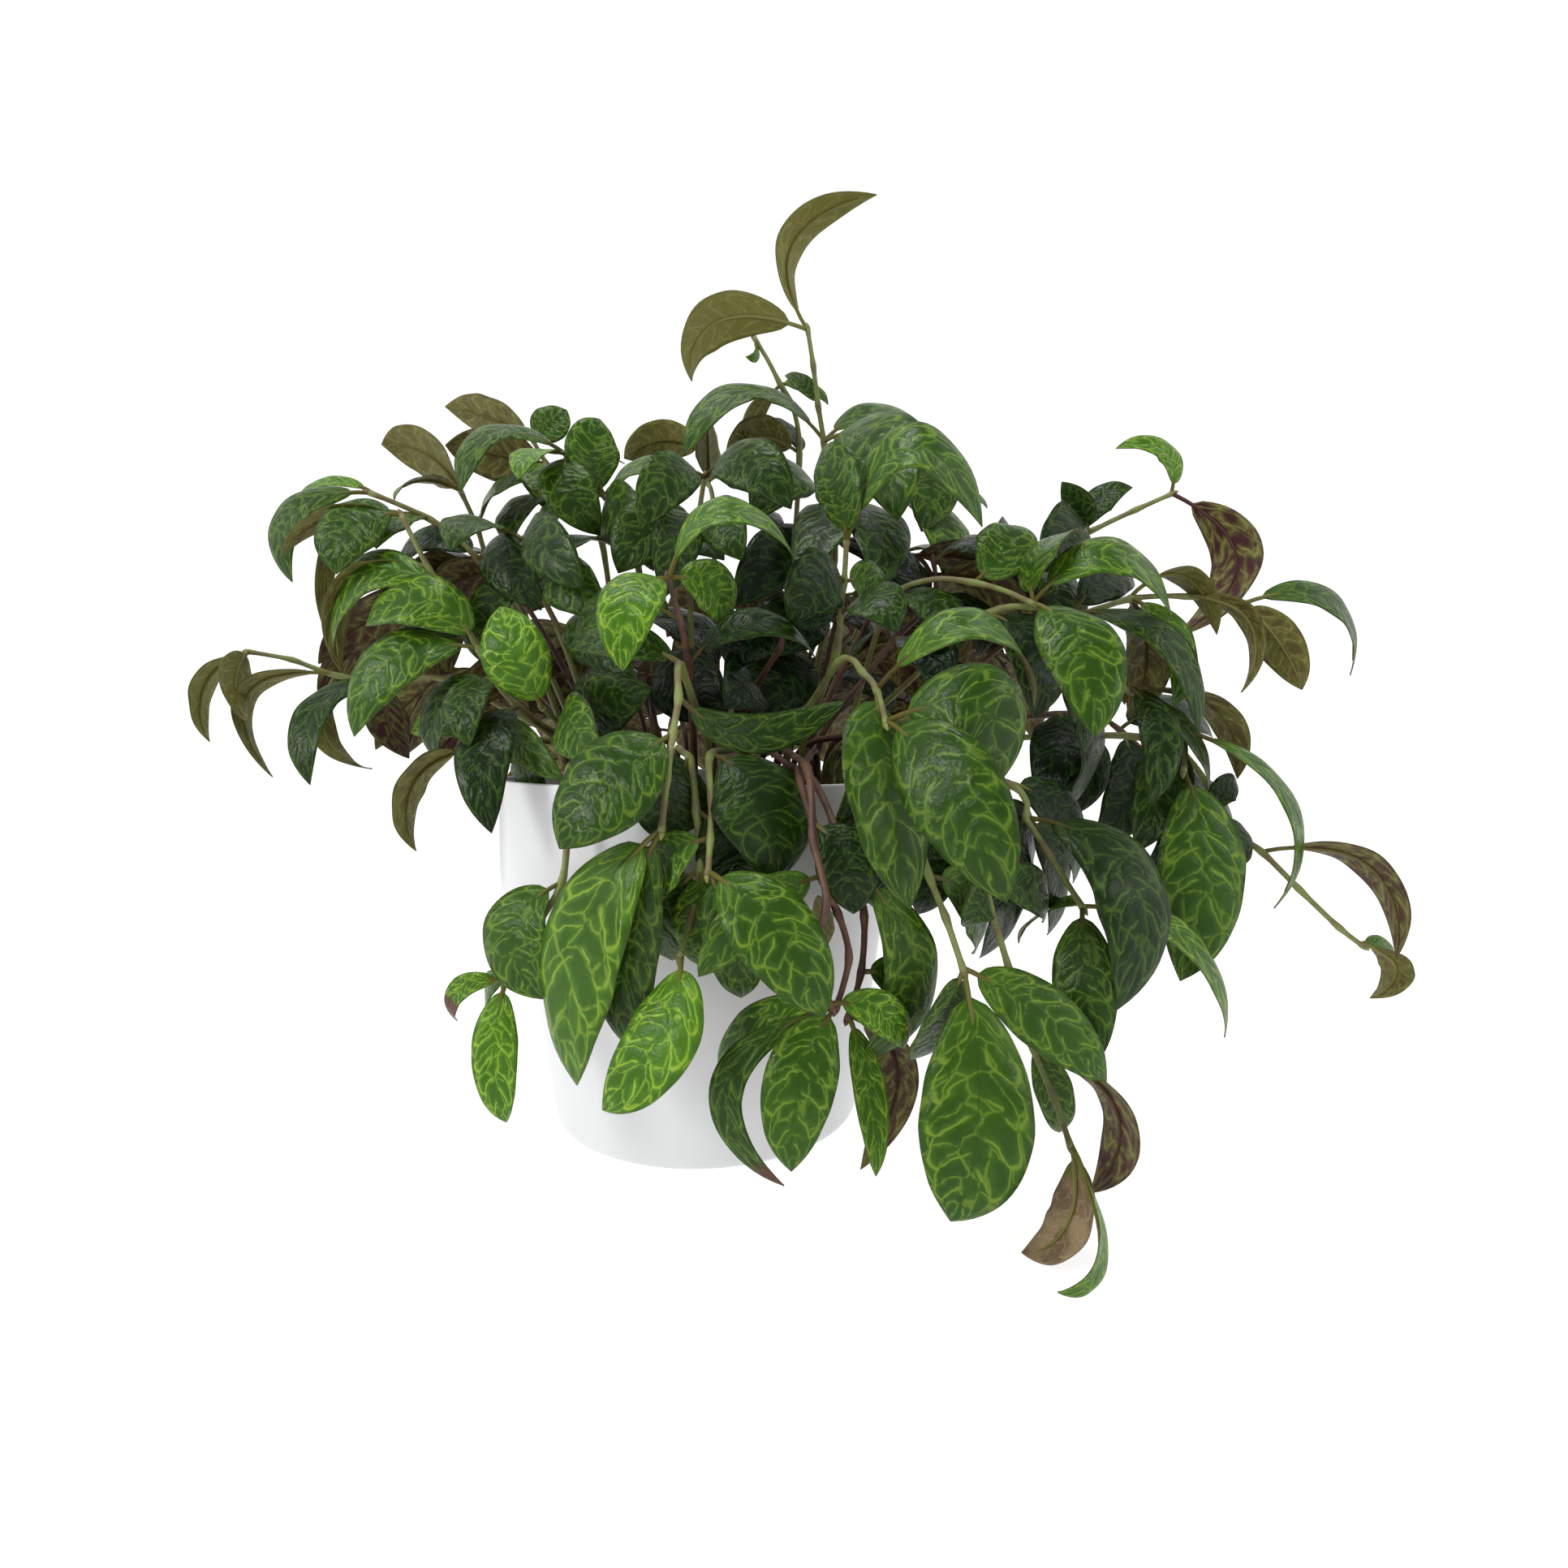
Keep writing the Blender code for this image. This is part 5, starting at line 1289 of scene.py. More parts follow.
def grow_rod(work: bmesh.types.BMesh, path: Sequence[Vector], radii: Sequence[float], sides: int,
             material: int) -> None:
    """Extrude a round rod along a path, with both ends closed.

    Args:
        work: The mesh that it is added to.
        path: The points of its middle line, in millimetres.
        radii: Its radius at each point.
        sides: How many sides it has.
        material: The place of its material.
    """
    ring = bmesh.ops.create_circle(work, cap_ends=True, segments=sides, radius=1.0)["verts"]
    cap = next(iter(ring[0].link_faces))
    cap.material_index = material
    rings = [list(cap.verts)]
    for _ in path[1:]:
        grown = bmesh.ops.extrude_face_region(work, geom=[cap])["geom"]
        cap = next(item for item in grown if isinstance(item, bmesh.types.BMFace))
        rings.append(list(cap.verts))
    across = FIRST_SIDE
    last = len(path) - 1
    for k, (verts, point, radius) in enumerate(zip(rings, path, radii)):
        ahead = (path[min(k + 1, last)] - path[max(k - 1, 0)]).normalized()
        across = (across - across.dot(ahead) * ahead).normalized()
        beside = ahead.cross(across)
        for side, vert in enumerate(verts):
            turn = math.tau * side / sides
            vert.co = (point + radius * (math.cos(turn) * across + math.sin(turn) * beside)) * MM
            for face in vert.link_faces:
                face.material_index = material
                face.smooth = True


def make_piece(work: bmesh.types.BMesh, name: str, node: str,
               materials: Sequence[bpy.types.Material]) -> bpy.types.Object:
    """Turn a mesh into a piece that stands for a node of the frame.

    Args:
        work: The mesh, which is freed.
        name: The piece's name.
        node: The node that it replaces.
        materials: Its materials in order.

    Returns:
        The piece.
    """
    mesh = bpy.data.meshes.new(name)
    bmesh.ops.triangulate(work, faces=[face for face in work.faces if len(face.verts) > 4])
    work.to_mesh(mesh)
    work.free()
    for material in materials:
        mesh.materials.append(material)
    piece = bpy.data.objects.new(name, mesh)
    bpy.context.scene.collection.objects.link(piece)
    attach(piece, "root")
    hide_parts(node)
    LOG.info("%s: %d faces", name, len(mesh.polygons))
    return piece


@dataclass(frozen=True)
class LeafLook:
    """What a leaf's colours are: how bright, how stained beneath, how dry. Deep in the plant the tone
    holds painted shade.
    """

    tone: float = 0.5
    stain: float = 0.3
    dry: float = 0.0


@dataclass(frozen=True)
class Tone:
    """How bright a kind of leaf is, and how far each one strays from that."""

    middle: float
    stray: float

    def draw(self, rng: random.Random) -> float:
        """Draw one leaf's tone."""
        return self.middle + rng.uniform(-self.stray, self.stray)


# The shade stems' tone and the far side's inner tone are painted shade, for the plant's dark inside
OPEN_TONE = Tone(0.50, 0.12)
YOUNG_TONE = Tone(0.72, 0.1)
MID_TONE = Tone(0.34, 0.1)
PAINTED_SHADE_TONE = Tone(0.06, 0.05)
BACK_INNER_SHADE_TONE = Tone(0.2, 0.1)
BACK_OUTER_TONE = Tone(0.42, 0.1)
FRONT_STAIN = (0.15, 0.55)
# The far side's leaves are heavily stained: partly real maroon, partly painted shade for the dark inside
BACK_STAIN_AND_SHADE = (0.6, 1.0)

# A young leaf is narrower than this; leaves on the inner part of a stem are darkened as painted shade
YOUNG_WIDTH = 15
INNER_PART = 0.4
BACK_INNER_PART = 0.6
INNER_SHADE_DARKER = 0.3

# Stems behind the others take the brown bark like old twigs, partly as painted shade for the dark inside
INNER_STEMS = ("stem_back", "stem_shade")

# Leaves whose colours stand out, by stem and place
LEAF_LOOKS = {
    ("stem_tall", 0): LeafLook(0.75, 0.05),
    ("stem_tall", 1): LeafLook(0.80, 0.0),
    ("stem_joint", 3): LeafLook(0.14, 0.4),
    ("stem_fore", 0): LeafLook(0.6, 0.5),
    ("stem_middle", 0): LeafLook(0.8, 0.1),
    ("stem_middle", 1): LeafLook(0.68, 0.1),
    ("stem_middle", 2): LeafLook(0.62, 0.1),
    ("stem_middle", 4): LeafLook(0.16, 0.4),
    ("stem_drape", 1): LeafLook(0.34, 0.3),
    ("stem_drape", 3): LeafLook(0.68, 0.1),
    ("stem_drape_3", 0): LeafLook(0.82, 0.0),
    ("stem_russet", 0): LeafLook(0.4, 0.4, 0.14),
    ("stem_russet", 1): LeafLook(0.55, 0.4, 0.03),
    ("stem_russet_2", 2): LeafLook(0.4, 0.9),
    ("stem_left_low", 0): LeafLook(0.5, 0.1),
    ("stem_left_low", 1): LeafLook(0.8, 0.2, 0.35),
    ("stem_left_low", 2): LeafLook(0.85, 0.1),
    ("stem_floor", 0): LeafLook(0.5, 1.0),
    ("stem_floor", 2): LeafLook(0.5, 0.3, 0.9),
    ("stem_right_long", 8): LeafLook(0.25, 0.5),
    ("stem_right_long", 9): LeafLook(0.25, 0.5),
    ("stem_right_shoot", 1): LeafLook(0.45, 1.0),
    ("stem_far_right", 0): LeafLook(0.5, 0.9),
    ("stem_far_left", 5): LeafLook(0.4, 1.0),
    ("stem_oval", 0): LeafLook(0.8, 0.1),
}


def look_of(stem: Stem, leaf: Leaf, rank: int, rng: random.Random) -> LeafLook:
    """Choose a leaf's colours from where and how old it is: those deep in the plant get a darker tone as
    painted shade.

    Args:
        stem: Its stem.
        leaf: The leaf.
        rank: Its place among the stem's leaves.
        rng: The stem's own draws.

    Returns:
        The look.
    """
    tone = OPEN_TONE.draw(rng)
    stain = rng.uniform(*FRONT_STAIN)
    last = len(stem.spots) - 1
    # Painted shade: shade stems, the far side's inner leaves and the inner part of each stem get darker
    # tones
    if "shade" in stem.name:
        tone = PAINTED_SHADE_TONE.draw(rng)
    elif "mid" in stem.name:
        tone = MID_TONE.draw(rng)
    elif stem.name.startswith("stem_back"):
        inner = leaf.node < BACK_INNER_PART * last
        tone = (BACK_INNER_SHADE_TONE if inner else BACK_OUTER_TONE).draw(rng)
        # More maroon stain on the far side's leaves, partly as painted shade
        stain = rng.uniform(*BACK_STAIN_AND_SHADE)
    elif leaf.node == last and leaf.width < YOUNG_WIDTH:
        tone = YOUNG_TONE.draw(rng)
    elif leaf.node < INNER_PART * last:
        tone -= INNER_SHADE_DARKER
    return LEAF_LOOKS.get((stem.name, rank), LeafLook(tone, stain))


@dataclass(frozen=True)
class RibPlan:
    """A leaf's stalk, which runs on beneath the blade as its midrib.

    Attributes:
        steps: How many steps its line has.
        crowd: How much closer together they are near the stem.
        end: How far along the leaf it runs.
        radius: Its radius at the stem.
        taper: How much of that it loses on its way to the tip.
        sides: How many sides it has.
        depth: How deep below the blade it lies, of its radius.
        settle: How soon it reaches that depth.
    """

    steps: int = 14
    crowd: float = 1.4
    end: float = 0.93
    radius: float = 0.9
    taper: float = 0.72
    sides: int = 6
    depth: float = 0.75
    settle: float = 9


@dataclass
class FineLeaf:
    """A leaf with a real outline, a folded and bowed blade, and a midrib beneath.

    Attributes:
        midrib: The line it grows along.
        look: Its own colours.
        seed: Its own number, from 0 to 1.
        rib: Its stalk and midrib.
        rows: How many cells the blade has along it.
        columns: How many cells lie side by side.
        thick: How thick it is.
        bow: How far its edges curl down, of half its width.
        wave: How wavy the edges are, of half its width.
        hook: How far its tip hooks down.
        hook_start: Where the hook starts.
        hook_length: How long it is, of the blade.
        petiole: The bare stalk's share of the leaf.
        half_share: Half the blade at its widest, of the leaf's width.
        half_least: What each edge has at least.
        tip_slim: How much slimmer the very tip is.
        tip_late: How late it slims.
        ragged: How uneven its outline is.
        edge_thin: How much thinner its edges are.
    """

    midrib: Midrib
    look: LeafLook
    seed: float
    rib: RibPlan = RibPlan()
    rows: int = 28
    columns: int = 10
    thick: float = 0.5
    bow: float = 0.20
    wave: float = 0.055
    hook: float = 2.2
    hook_start: float = 0.78
    hook_length: float = 0.22
    petiole: float = 0.085
    half_share: float = 0.52
    half_least: float = 0.12
    tip_slim: float = 0.25
    tip_late: float = 12
    ragged: float = 0.035
    edge_thin: float = 0.55

    def half(self, s: float) -> float:
        """Give half the blade's width at s, from 0 where it starts to 1 at the tip."""
        swell = max(0.0, math.sin(math.pi * s ** BLADE_MIDDLE))
        outline = swell ** (BLADE_BLUNT + self.tip_slim * s ** self.tip_late)
        ragged = 1 + self.ragged * noise.noise(Vector((s * 7.0, self.seed * 31.0, 0.0)))
        return self.half_share * self.midrib.leaf.width * outline * ragged + self.half_least

    def droop(self, s: float) -> float:
        """Give how far the blade hooks down at s."""
        return self.hook * max(0.0, (s - self.hook_start) / self.hook_length) ** 2

    def ripple(self, s: float, across: float) -> float:
        """Give how far the blade waves up at s, of half its width: coarsely and finely."""
        edge = across * across
        swing = self.seed * math.tau
        right = across > 0
        coarse = self.wave * math.sin(7.5 * s + swing + (1.2 if right else 0)) * edge
        return coarse + 0.5 * self.wave * math.sin(19 * s + 2 * swing + (2.1 if right else 0)) * edge

    def surface(self, along: float, across: float, depth: float) -> Vector:
        """Give the place of a spot of the flat blade.

        Args:
            along: -1 at the blade's start and 1 at its tip.
            across: -1 and 1 at its edges.
            depth: 0 on the upper side and -1 on the underside.

        Returns:
            The place in millimetres.
        """
        s = 0.5 + 0.5 * along
        point, side, face = self.midrib.at(self.petiole + (1 - self.petiole) * s)
        half = self.half(s)
        edge = across * across
        fold = math.sin(math.radians(self.midrib.leaf.fold)) * abs(across) ** 1.3
        rise = half * (fold + self.ripple(s, across) - self.bow * edge)
        slim = self.thick * (1 - self.edge_thin * edge)
        return point - half * across * side + (rise - self.droop(s) + depth * slim) * face

    def add_to(self, work: bmesh.types.BMesh) -> None:
        """Add the leaf's blade and its rib to a stem's mesh."""
        part = bmesh.new()
        chart = part.loops.layers.uv.new(CHART_LAYER)
        code = part.verts.layers.float_color.new(CODE_LAYER)
        bmesh.ops.create_grid(part, x_segments=self.rows, y_segments=self.columns, size=1.0)
        grown = bmesh.ops.extrude_face_region(part, geom=list(part.faces))["geom"]
        under = [item for item in grown if isinstance(item, bmesh.types.BMVert)]
        bmesh.ops.translate(part, verts=under, vec=(0, 0, -1))
        bmesh.ops.recalc_face_normals(part, faces=list(part.faces))
        for face in part.faces:
            face.smooth = True
            face.material_index = Side.UNDER.value if face.normal.z < -0.5 else Side.TOP.value
            for loop in face.loops:
                loop[chart].uv = (0.5 + 0.5 * loop.vert.co.x, 0.5 + 0.5 * loop.vert.co.y)
        for vert in part.verts:
            vert.co = self.surface(*vert.co) * MM
        self.add_rib(part)
        for vert in part.verts:
            vert[code] = (self.seed, self.look.tone, self.look.stain, self.look.dry)
        loose = bpy.data.meshes.new("leaf")
        part.to_mesh(loose)
        part.free()
        work.from_mesh(loose)
        bpy.data.meshes.remove(loose)

    def add_rib(self, part: bmesh.types.BMesh) -> None:
        """Add the leaf's stalk and midrib to its blade."""
        plan = self.rib
        path, radii = [], []
        for k in range(plan.steps + 1):
            t = (k / plan.steps) ** plan.crowd * plan.end
            point, _, face = self.midrib.at(t)
            s = max(0.0, (t - self.petiole) / (1 - self.petiole))
            radius = plan.radius * (1 - plan.taper * t)
            sink = (0.5 * self.thick + plan.depth * radius) * min(1.0, s * plan.settle)
            path.append(point - (sink + self.droop(s)) * face)
            radii.append(radius)
        grow_rod(part, path, radii, plan.sides, Side.UNDER.value)


@dataclass
class FineStem:
    """A leafy stem: a jointed round twig, a bud at its end, and its leaves.

    Attributes:
        plant: The plant it is one of.
        index: Its place among the plant's stems.
        thick: Its radius at the soil.
        thin: Its radius at its end.
        sides: How many sides it has.
        steps: How many steps its line gets for each of the solid's.
        joint_swell: How much thicker each joint is.
        joint_reach: How many steps the swelling takes to fade.
        bud: How far on and how thick each ring of the bud is.
        bud_sides: How many sides the bud has.
    """

    plant: Plant
    index: int
    thick: float = 1.35
    thin: float = 0.95
    sides: int = 8
    steps: int = 4
    joint_swell: float = 0.38
    joint_reach: float = 2.0
    bud: tuple[tuple[float, float], ...] = ((-0.5, 1.1), (0.6, 1.25), (1.6, 0.8), (2.6, 0.15))
    bud_sides: int = 6

    def build(self, materials: Sequence[bpy.types.Material]) -> bpy.types.Object:
        """Build the stem with its leaves as one piece."""
        stem = self.plant.stems[self.index]
        work = bmesh.new()
        work.loops.layers.uv.new(CHART_LAYER)
        work.verts.layers.float_color.new(CODE_LAYER)
        self.add_twig(work)
        rng = random.Random(stem.name)
        for midrib, rank in zip(self.plant.leaves[self.index], self.plant.places[self.index]):
            look = look_of(stem, midrib.leaf, rank, rng)
            FineLeaf(midrib, look, rng.random()).add_to(work)
        return make_piece(work, f"{stem.name}_leafy", stem.name, materials)

    def add_twig(self, work: bmesh.types.BMesh) -> None:
        """Add the twig, swollen at each joint."""
        path = smooth(self.plant.routes[self.index], self.steps)
        joints = [node_spot(k) * self.steps for k in range(len(self.plant.stems[self.index].spots))]
        radii = []
        for k in range(len(path)):
            radius = self.thick + (self.thin - self.thick) * k / (len(path) - 1)
            near = min(abs(k - joint) for joint in joints)
            radii.append(radius * (1.0 + self.joint_swell * max(0.0, 1 - near / self.joint_reach)))
        grow_rod(work, path, radii, self.sides, 0)
        self.add_bud(work, path[-1], (path[-1] - path[-2]).normalized())

    def add_bud(self, work: bmesh.types.BMesh, end: Vector, ahead: Vector) -> None:
        """Add the small pointed bud that a stem ends in."""
        path = [end + ahead * reach for reach, _ in self.bud]
        grow_rod(work, path, [radius for _, radius in self.bud], self.bud_sides, 0)


def rounded(corners: Sequence[tuple[float, float]], rounds: Sequence[float],
            steps: int) -> list[Vector]:
    """Round a profile's corners off.

    Args:
        corners: The profile's (radius, height) corners, in millimetres.
        rounds: How far from each corner the rounding starts.
        steps: How many points a rounded corner gets, less one.

    Returns:
        The points of the profile, in metres, in the XZ plane.
    """
    places = [Vector((radius, 0, height)) for radius, height in corners]
    points = []
    for k, (here, reach) in enumerate(zip(places, rounds)):
        if reach == 0:
            points.append(here * MM)
            continue
        before = here + reach * (places[k - 1] - here).normalized()
        after = here + reach * (places[k + 1] - here).normalized()
        for step in range(steps + 1):
            t = step / steps
            points.append(((1 - t) ** 2 * before + 2 * t * (1 - t) * here + t * t * after) * MM)
    return points


def spin_profile(points: Sequence[Vector], steps: int) -> bmesh.types.BMesh:
    """Spin a profile right round the Z axis.

    Args:
        points: The profile, which starts and ends on the axis.
        steps: How many steps the turn has.

    Returns:
        The closed mesh.
    """
    work = bmesh.new()
    verts = [work.verts.new(point) for point in points]
    edges = [work.edges.new(pair) for pair in zip(verts, verts[1:])]
    bmesh.ops.spin(work, geom=verts + edges, cent=(0, 0, 0), axis=(0, 0, 1), dvec=(0, 0, 0),
                   angle=math.tau, steps=steps, use_merge=True, use_duplicate=False)
    bmesh.ops.remove_doubles(work, verts=work.verts, dist=1e-6)
    bmesh.ops.recalc_face_normals(work, faces=work.faces)
    for face in work.faces:
        face.smooth = True
    return work


@dataclass
class Pot:
    """The white pot: a tapered body under a broad collar.

    Attributes:
        finish: Its plastic.
        sides: How many steps its turn has.
        round_steps: How many steps each soft edge has.
        lip_round: How soft the lip's edges are.
        fillet: How soft the other edges of the wall are.
        foot: How wide the ring is that it stands on.
        foot_step: How much wider the ring is at its root.
        foot_rise: How far the base stands up inside the ring.
        collar_slope: How much higher the step under the collar is at its outer edge.
    """

    finish: PotFinish
    sides: int = 144
    round_steps: int = 6
    lip_round: float = 0.9
    fillet: float = 2.0
    foot: float = 8
    foot_step: float = 1
    foot_rise: float = 0.9
    collar_slope: float = 1

    def build(self) -> bpy.types.Object:
        """Spin the wall and give it its soft edges."""
        ring = BASE_RADIUS - self.foot
        step = COLLAR_FOOT - COLLAR_ROUND
        edges = [(0, self.foot_rise, 0),
                 (ring - self.foot_step, self.foot_rise, 0.5),
                 (ring, 0, 0.4),
                 (BASE_RADIUS, 0, BASE_ROUND),
                 (BODY_TOP_RADIUS, step, self.fillet),
                 (RIM_RADIUS, step + self.collar_slope, COLLAR_ROUND),
                 (RIM_RADIUS, POT_HEIGHT, self.lip_round),
                 (RIM_RADIUS - POT_WALL, POT_HEIGHT, self.lip_round),
                 (RIM_RADIUS - POT_WALL, COLLAR_FOOT, self.fillet),
                 (BODY_TOP_RADIUS - POT_WALL, step, self.fillet),
                 (BASE_RADIUS - POT_WALL, POT_FLOOR, self.fillet),
                 (0, POT_FLOOR, 0)]
        corners = [(radius, height) for radius, height, _ in edges]
        wall = rounded(corners, [soft for _, _, soft in edges], self.round_steps)
        work = spin_profile(wall, self.sides)
        return make_piece(work, "pot_shell", "pot", [self.finish.material()])


@dataclass
class Soil:
    """The potting mix: an uneven mound with bark chips and a few pale grains.

    Attributes:
        looks: Its finishes: the mix, the bark and the pale grains.
        rings: How many rings the mound has.
        sides: How many steps its turn has.
        crumbs: The size and the height of each kind of crumb on it.
        crumb_fade: How gently the crumbs grow from the wall inwards.
        seed: The chips' own seed.
        chips: How many chips lie on it.
        chip_size: Half the least and half the greatest length of a chip.
        chip_width: The least and the greatest width, of the length.
        chip_height: The least and the greatest height, of the length.
        chip_tilt: How far a chip may tilt, in radians.
        chip_rough: How rough it is, of its size.
        chip_shares: How often a chip has each of the finishes.
    """

    looks: tuple[SoilFinish, ...]
    rings: int = 46
    sides: int = 150
    crumbs: tuple[tuple[float, float], ...] = ((16.0, 1.6), (6.0, 1.1), (2.4, 0.5))
    crumb_fade: float = 3.0
    seed: int = 5
    chips: int = 640
    chip_size: tuple[float, float] = (0.8, 2.6)
    chip_width: tuple[float, float] = (0.5, 0.9)
    chip_height: tuple[float, float] = (0.25, 0.6)
    chip_tilt: float = 0.6
    chip_rough: float = 0.22
    chip_shares: tuple[int, ...] = (10, 8, 1)

    def build(self) -> bpy.types.Object:
        """Spin the mound, roughen it and strew the chips."""
        inner = RIM_RADIUS - POT_WALL - GAP
        side = [(BASE_RADIUS - POT_WALL - GAP, POT_FLOOR + GAP),
                (BODY_TOP_RADIUS - POT_WALL - GAP, COLLAR_FOOT - COLLAR_ROUND), (inner, COLLAR_FOOT)]
        points = [Vector((0, 0, POT_FLOOR + GAP)) * MM]
        points += [Vector((radius, 0, height)) * MM for radius, height in side]
        for k in range(self.rings + 1):
            radius = inner * (1 - k / self.rings)
            points.append(Vector((radius, 0, soil_height(Vector((radius, 0, 0))))) * MM)
        work = spin_profile(points, self.sides)
        for vert in work.verts:
            self.roughen(vert, inner)
        rng = random.Random(self.seed)
        for _ in range(self.chips):
            self.add_chip(work, rng, inner)
        return make_piece(work, "soil_mix", "soil",
                          [look.material() for look in self.looks])

    def roughen(self, vert: bmesh.types.BMVert, inner: float) -> None:
        """Move a vertex of the mound up or down by its crumbs, less near the wall."""
        spot = vert.co / MM
        if spot.z < SOIL_EDGE - 1:
            return
        bump = 0.0
        for size, height in self.crumbs:
            bump += height * noise.noise(Vector((spot.x, spot.y, 7.0)) / size)
        reach = math.hypot(spot.x, spot.y)
        vert.co.z += bump * MM * min(1.0, (inner - reach) / self.crumb_fade + 0.3)

    def add_chip(self, work: bmesh.types.BMesh, rng: random.Random, inner: float) -> None:
        """Add one chip of bark or one pale grain, half sunk in the mound.

        Args:
            work: The soil's mesh.
            rng: The chips' draws.
            inner: The mound's radius.
        """
        turn = rng.uniform(0, math.tau)
        reach = (inner - 3.5) * math.sqrt(rng.random())
        size = rng.uniform(*self.chip_size)
        spot = Vector((reach * math.cos(turn), reach * math.sin(turn), 0))
        spot.z = soil_height(spot) + 0.3 * size
        squat = Matrix.Diagonal((size, size * rng.uniform(*self.chip_width),
                                 size * rng.uniform(*self.chip_height), 1.0))
        tip_up, tip_over = (Matrix.Rotation(rng.uniform(-self.chip_tilt, self.chip_tilt), 4, axis)
                            for axis in "XY")
        spun = Matrix.Rotation(rng.uniform(0, math.tau), 4, "Z")
        where = Matrix.Scale(MM, 4) @ Matrix.Translation(spot) @ spun @ (tip_up @ tip_over) @ squat
        chip = bmesh.ops.create_icosphere(work, subdivisions=1, radius=1.0, matrix=where)["verts"]
        kind = rng.choices((0, 1, 2), self.chip_shares)[0]
        for vert in chip:
            push = Vector((rng.uniform(-1, 1), rng.uniform(-1, 1), rng.uniform(-1, 1)))
            vert.co += push * self.chip_rough * size * MM
            for face in vert.link_faces:
                face.material_index = kind


@dataclass(frozen=True)
class Lamp:
    """A square soft light, aimed at the plant.

    Attributes:
        name: Its name.
        place_at: Where it hangs, in metres.
        size: Its side.
        power: Its power in watts.
        target: What it points at.
    """

    name: str
    place_at: tuple[float, float, float]
    size: float
    power: float
    target: tuple[float, float, float] = (0.0, 0.0, 0.15)

    def hang(self) -> None:
        """Hang the light."""
        lamp = bpy.data.lights.new(self.name, "AREA")
        lamp.size = self.size
        lamp.energy = self.power
        holder = bpy.data.objects.new(self.name, lamp)
        holder.location = self.place_at
        aim = Vector(self.target) - Vector(self.place_at)
        holder.rotation_euler = aim.to_track_quat("-Z", "Y").to_euler()
        bpy.context.scene.collection.objects.link(holder)


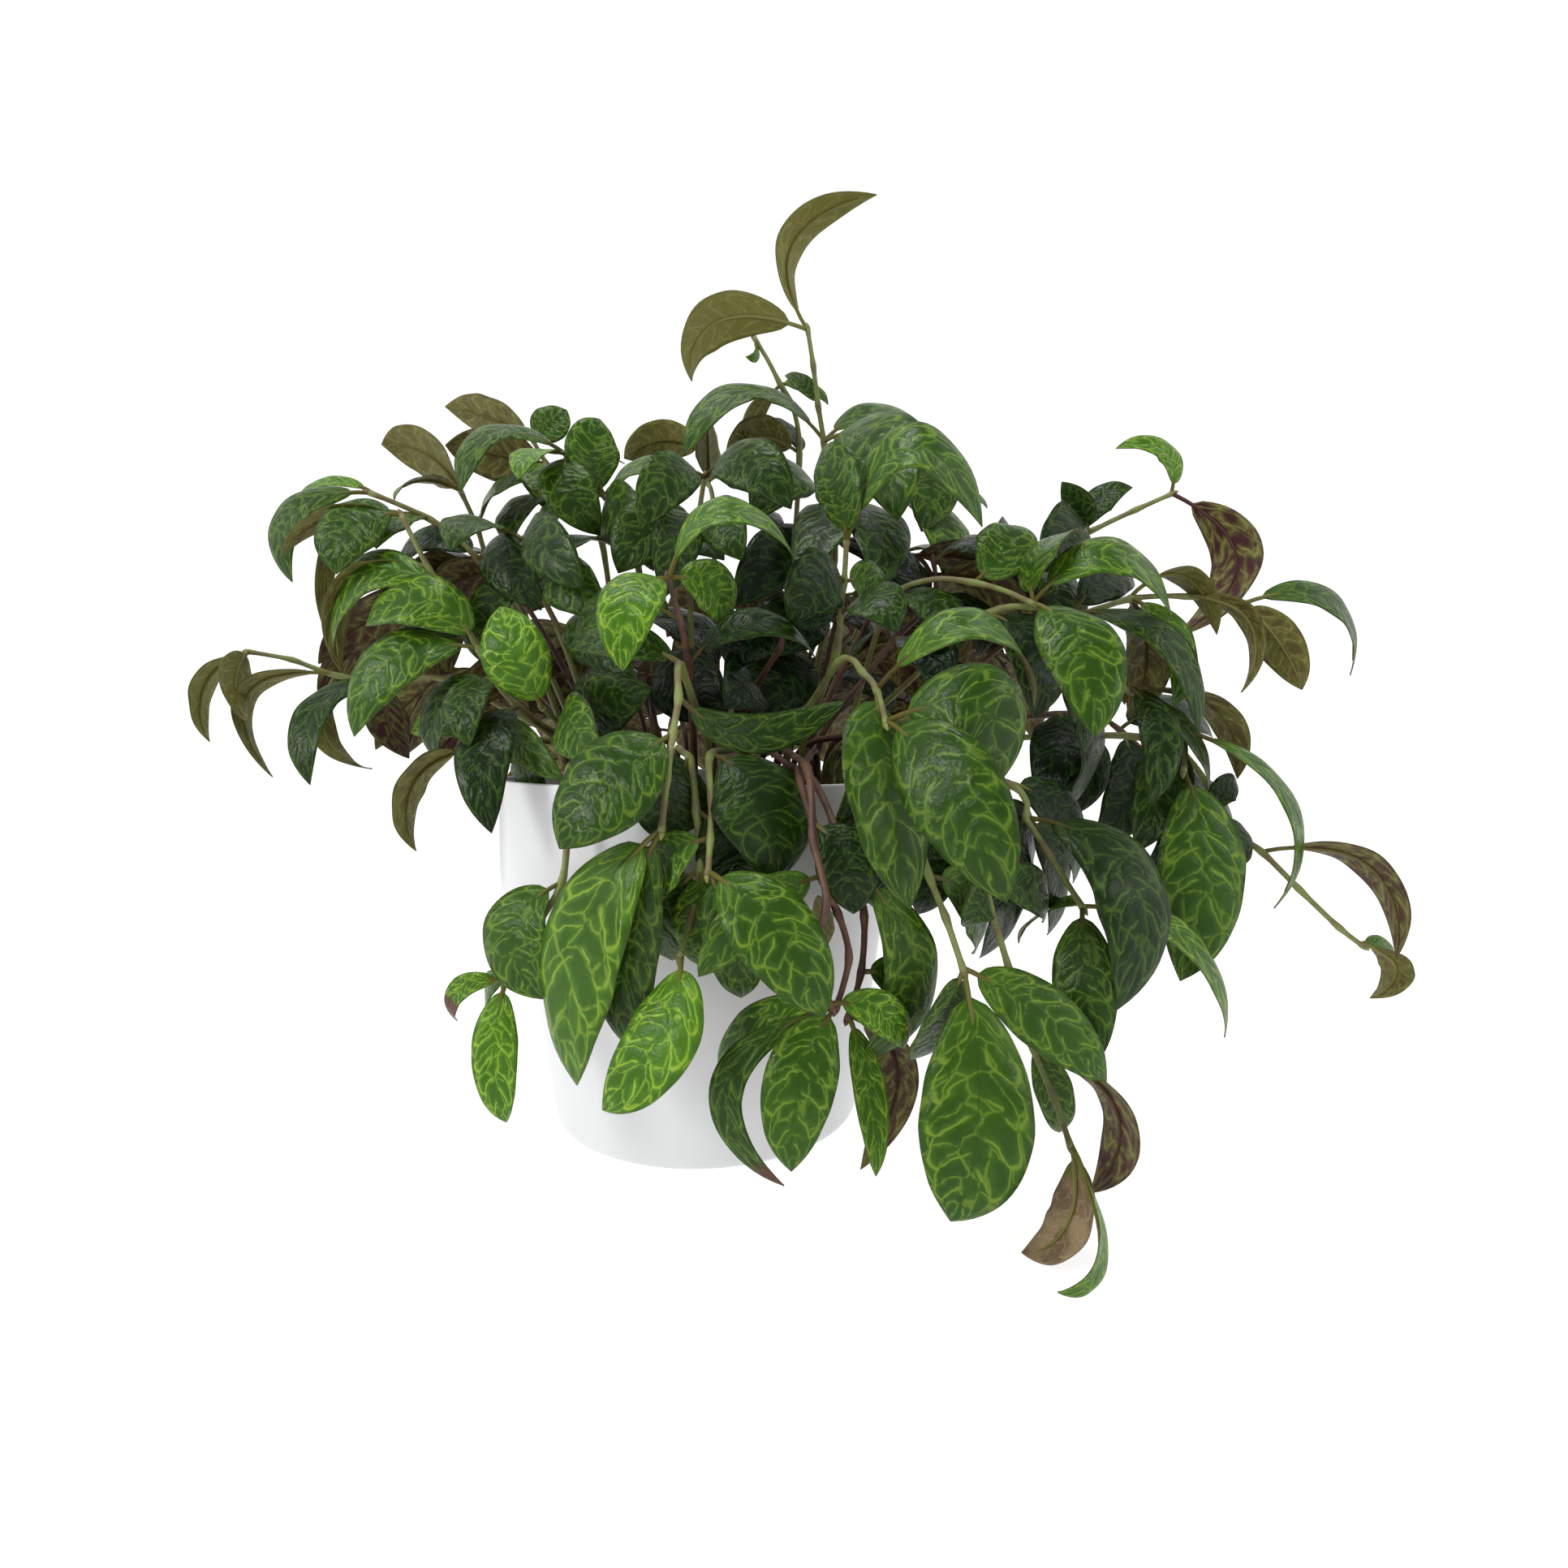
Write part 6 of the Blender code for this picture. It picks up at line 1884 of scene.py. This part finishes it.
@dataclass
class Studio:
    """The pale sheet, the soft lights and the camera.

    Attributes:
        finish: The sheet's finish.
        lamps: The lights.
        world_light: How bright the even light from all round is.
        sheet_reach: How far the sheet reaches each way.
        sheet_flat: How far from the pot it starts to rise.
        sheet_rise: How steeply it curves up.
        sheet_cells: How many cells it has each way.
        sensor_width: How wide the camera's picture plane is.
        near: The least way from the camera that it sees.
    """

    finish: StageFinish
    lamps: tuple[Lamp, ...] = (Lamp("overhead", (-0.1, -0.15, 1.3), 0.45, 6.5),
                               Lamp("front_left", (-1.2, -1.1, 1.0), 0.5, 15.0),
                               Lamp("front_right", (1.4, -1.0, 0.8), 0.6, 5.0))
    world_light: float = 0.15
    sheet_reach: float = 4.6
    sheet_flat: float = 1.3
    sheet_rise: float = 0.62
    sheet_cells: int = 90
    sensor_width: float = 36.0
    near: float = 0.01

    def build(self) -> None:
        """Set the sheet out, hang the lights and point the camera."""
        self.lay_sheet()
        self.lighten_world()
        for lamp in self.lamps:
            lamp.hang()
        self.set_camera()

    def lay_sheet(self) -> None:
        """Lay a large sheet that sweeps up a good way off all round."""
        work = bmesh.new()
        bmesh.ops.create_grid(work, x_segments=self.sheet_cells, y_segments=self.sheet_cells,
                              size=self.sheet_reach)
        for vert in work.verts:
            beyond = max(0.0, math.hypot(vert.co.x, vert.co.y) - self.sheet_flat)
            vert.co.z = self.sheet_rise * beyond * beyond
        mesh = bpy.data.meshes.new("sheet")
        for face in work.faces:
            face.smooth = True
        work.to_mesh(mesh)
        work.free()
        mesh.materials.append(self.finish.material())
        sheet = bpy.data.objects.new("sheet", mesh)
        bpy.context.scene.collection.objects.link(sheet)

    def lighten_world(self) -> None:
        """Fill the room with even white light."""
        world = bpy.data.worlds.new("studio")
        world.use_nodes = True
        ground = world.node_tree.nodes["Background"]
        ground.inputs["Color"].default_value = (1.0, 1.0, 1.0, 1.0)
        ground.inputs["Strength"].default_value = self.world_light
        bpy.context.scene.world = world

    def set_camera(self) -> None:
        """Stand the camera where the picture was taken from."""
        lens = bpy.data.cameras.new("eye")
        lens.sensor_width = self.sensor_width
        lens.lens = PICTURE_FOCAL / PICTURE_SIZE * self.sensor_width
        lens.clip_start = self.near
        eye = bpy.data.objects.new("eye", lens)
        eye.location = EYE * MM
        eye.rotation_euler = (math.radians(90.0) - EYE_PITCH, 0.0, 0.0)
        bpy.context.scene.collection.objects.link(eye)
        bpy.context.scene.camera = eye


def with_points(stem: Stem) -> Stem:
    """Give the same stem with its spots turned into points."""
    spots = tuple(spot if isinstance(spot, Vector) else place(spot) for spot in stem.spots)
    return replace(stem, spots=spots)


# The finishes of the potting mix and of the two kinds of stem
MIXES = (SoilFinish("mix_dark", (0.012, 0.008, 0.006), (0.045, 0.028, 0.018)),
         SoilFinish("mix_bark", (0.035, 0.018, 0.010), (0.11, 0.06, 0.035)),
         SoilFinish("mix_pale", (0.25, 0.22, 0.18), (0.5, 0.47, 0.42)))
BARKS = {"green": BarkFinish("bark_green", (0.19, 0.24, 0.06), (0.16, 0.13, 0.05)),
         "brown": BarkFinish("bark_brown", (0.12, 0.055, 0.03), (0.06, 0.025, 0.016))}


def main() -> None:
    """Load the frame and build the pot, the soil, the stems and the studio."""
    logging.basicConfig(level=logging.INFO)
    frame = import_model()
    stems = [with_points(stem) for stem in (*FRONT_STEMS, *back_stems())]
    solids = [coarse_turned(pot_profile(), COARSE_POT_SIDES),
              coarse_turned(soil_profile(), COARSE_SOIL_SIDES)]
    plant = Plant(stems, solids)
    LOG.info("%d leaves on %d stems in %d nodes", sum(map(len, plant.leaves)), len(stems),
             len(frame["nodes"]))
    Pot(PotFinish()).build()
    Soil(MIXES).build()
    blades = [BladeFinish(side).material() for side in Side]
    barks = {name: finish.material() for name, finish in BARKS.items()}
    for index, stem in enumerate(stems):
        # Stems behind the others get the brown bark, partly as painted shade
        inner = stem.name.startswith(INNER_STEMS)
        FineStem(plant, index).build([barks["brown" if inner else stem.bark], *blades])
    Studio(StageFinish()).build()
    bpy.context.scene.view_settings.view_transform = "Standard"


if __name__ == "__main__":
    main()
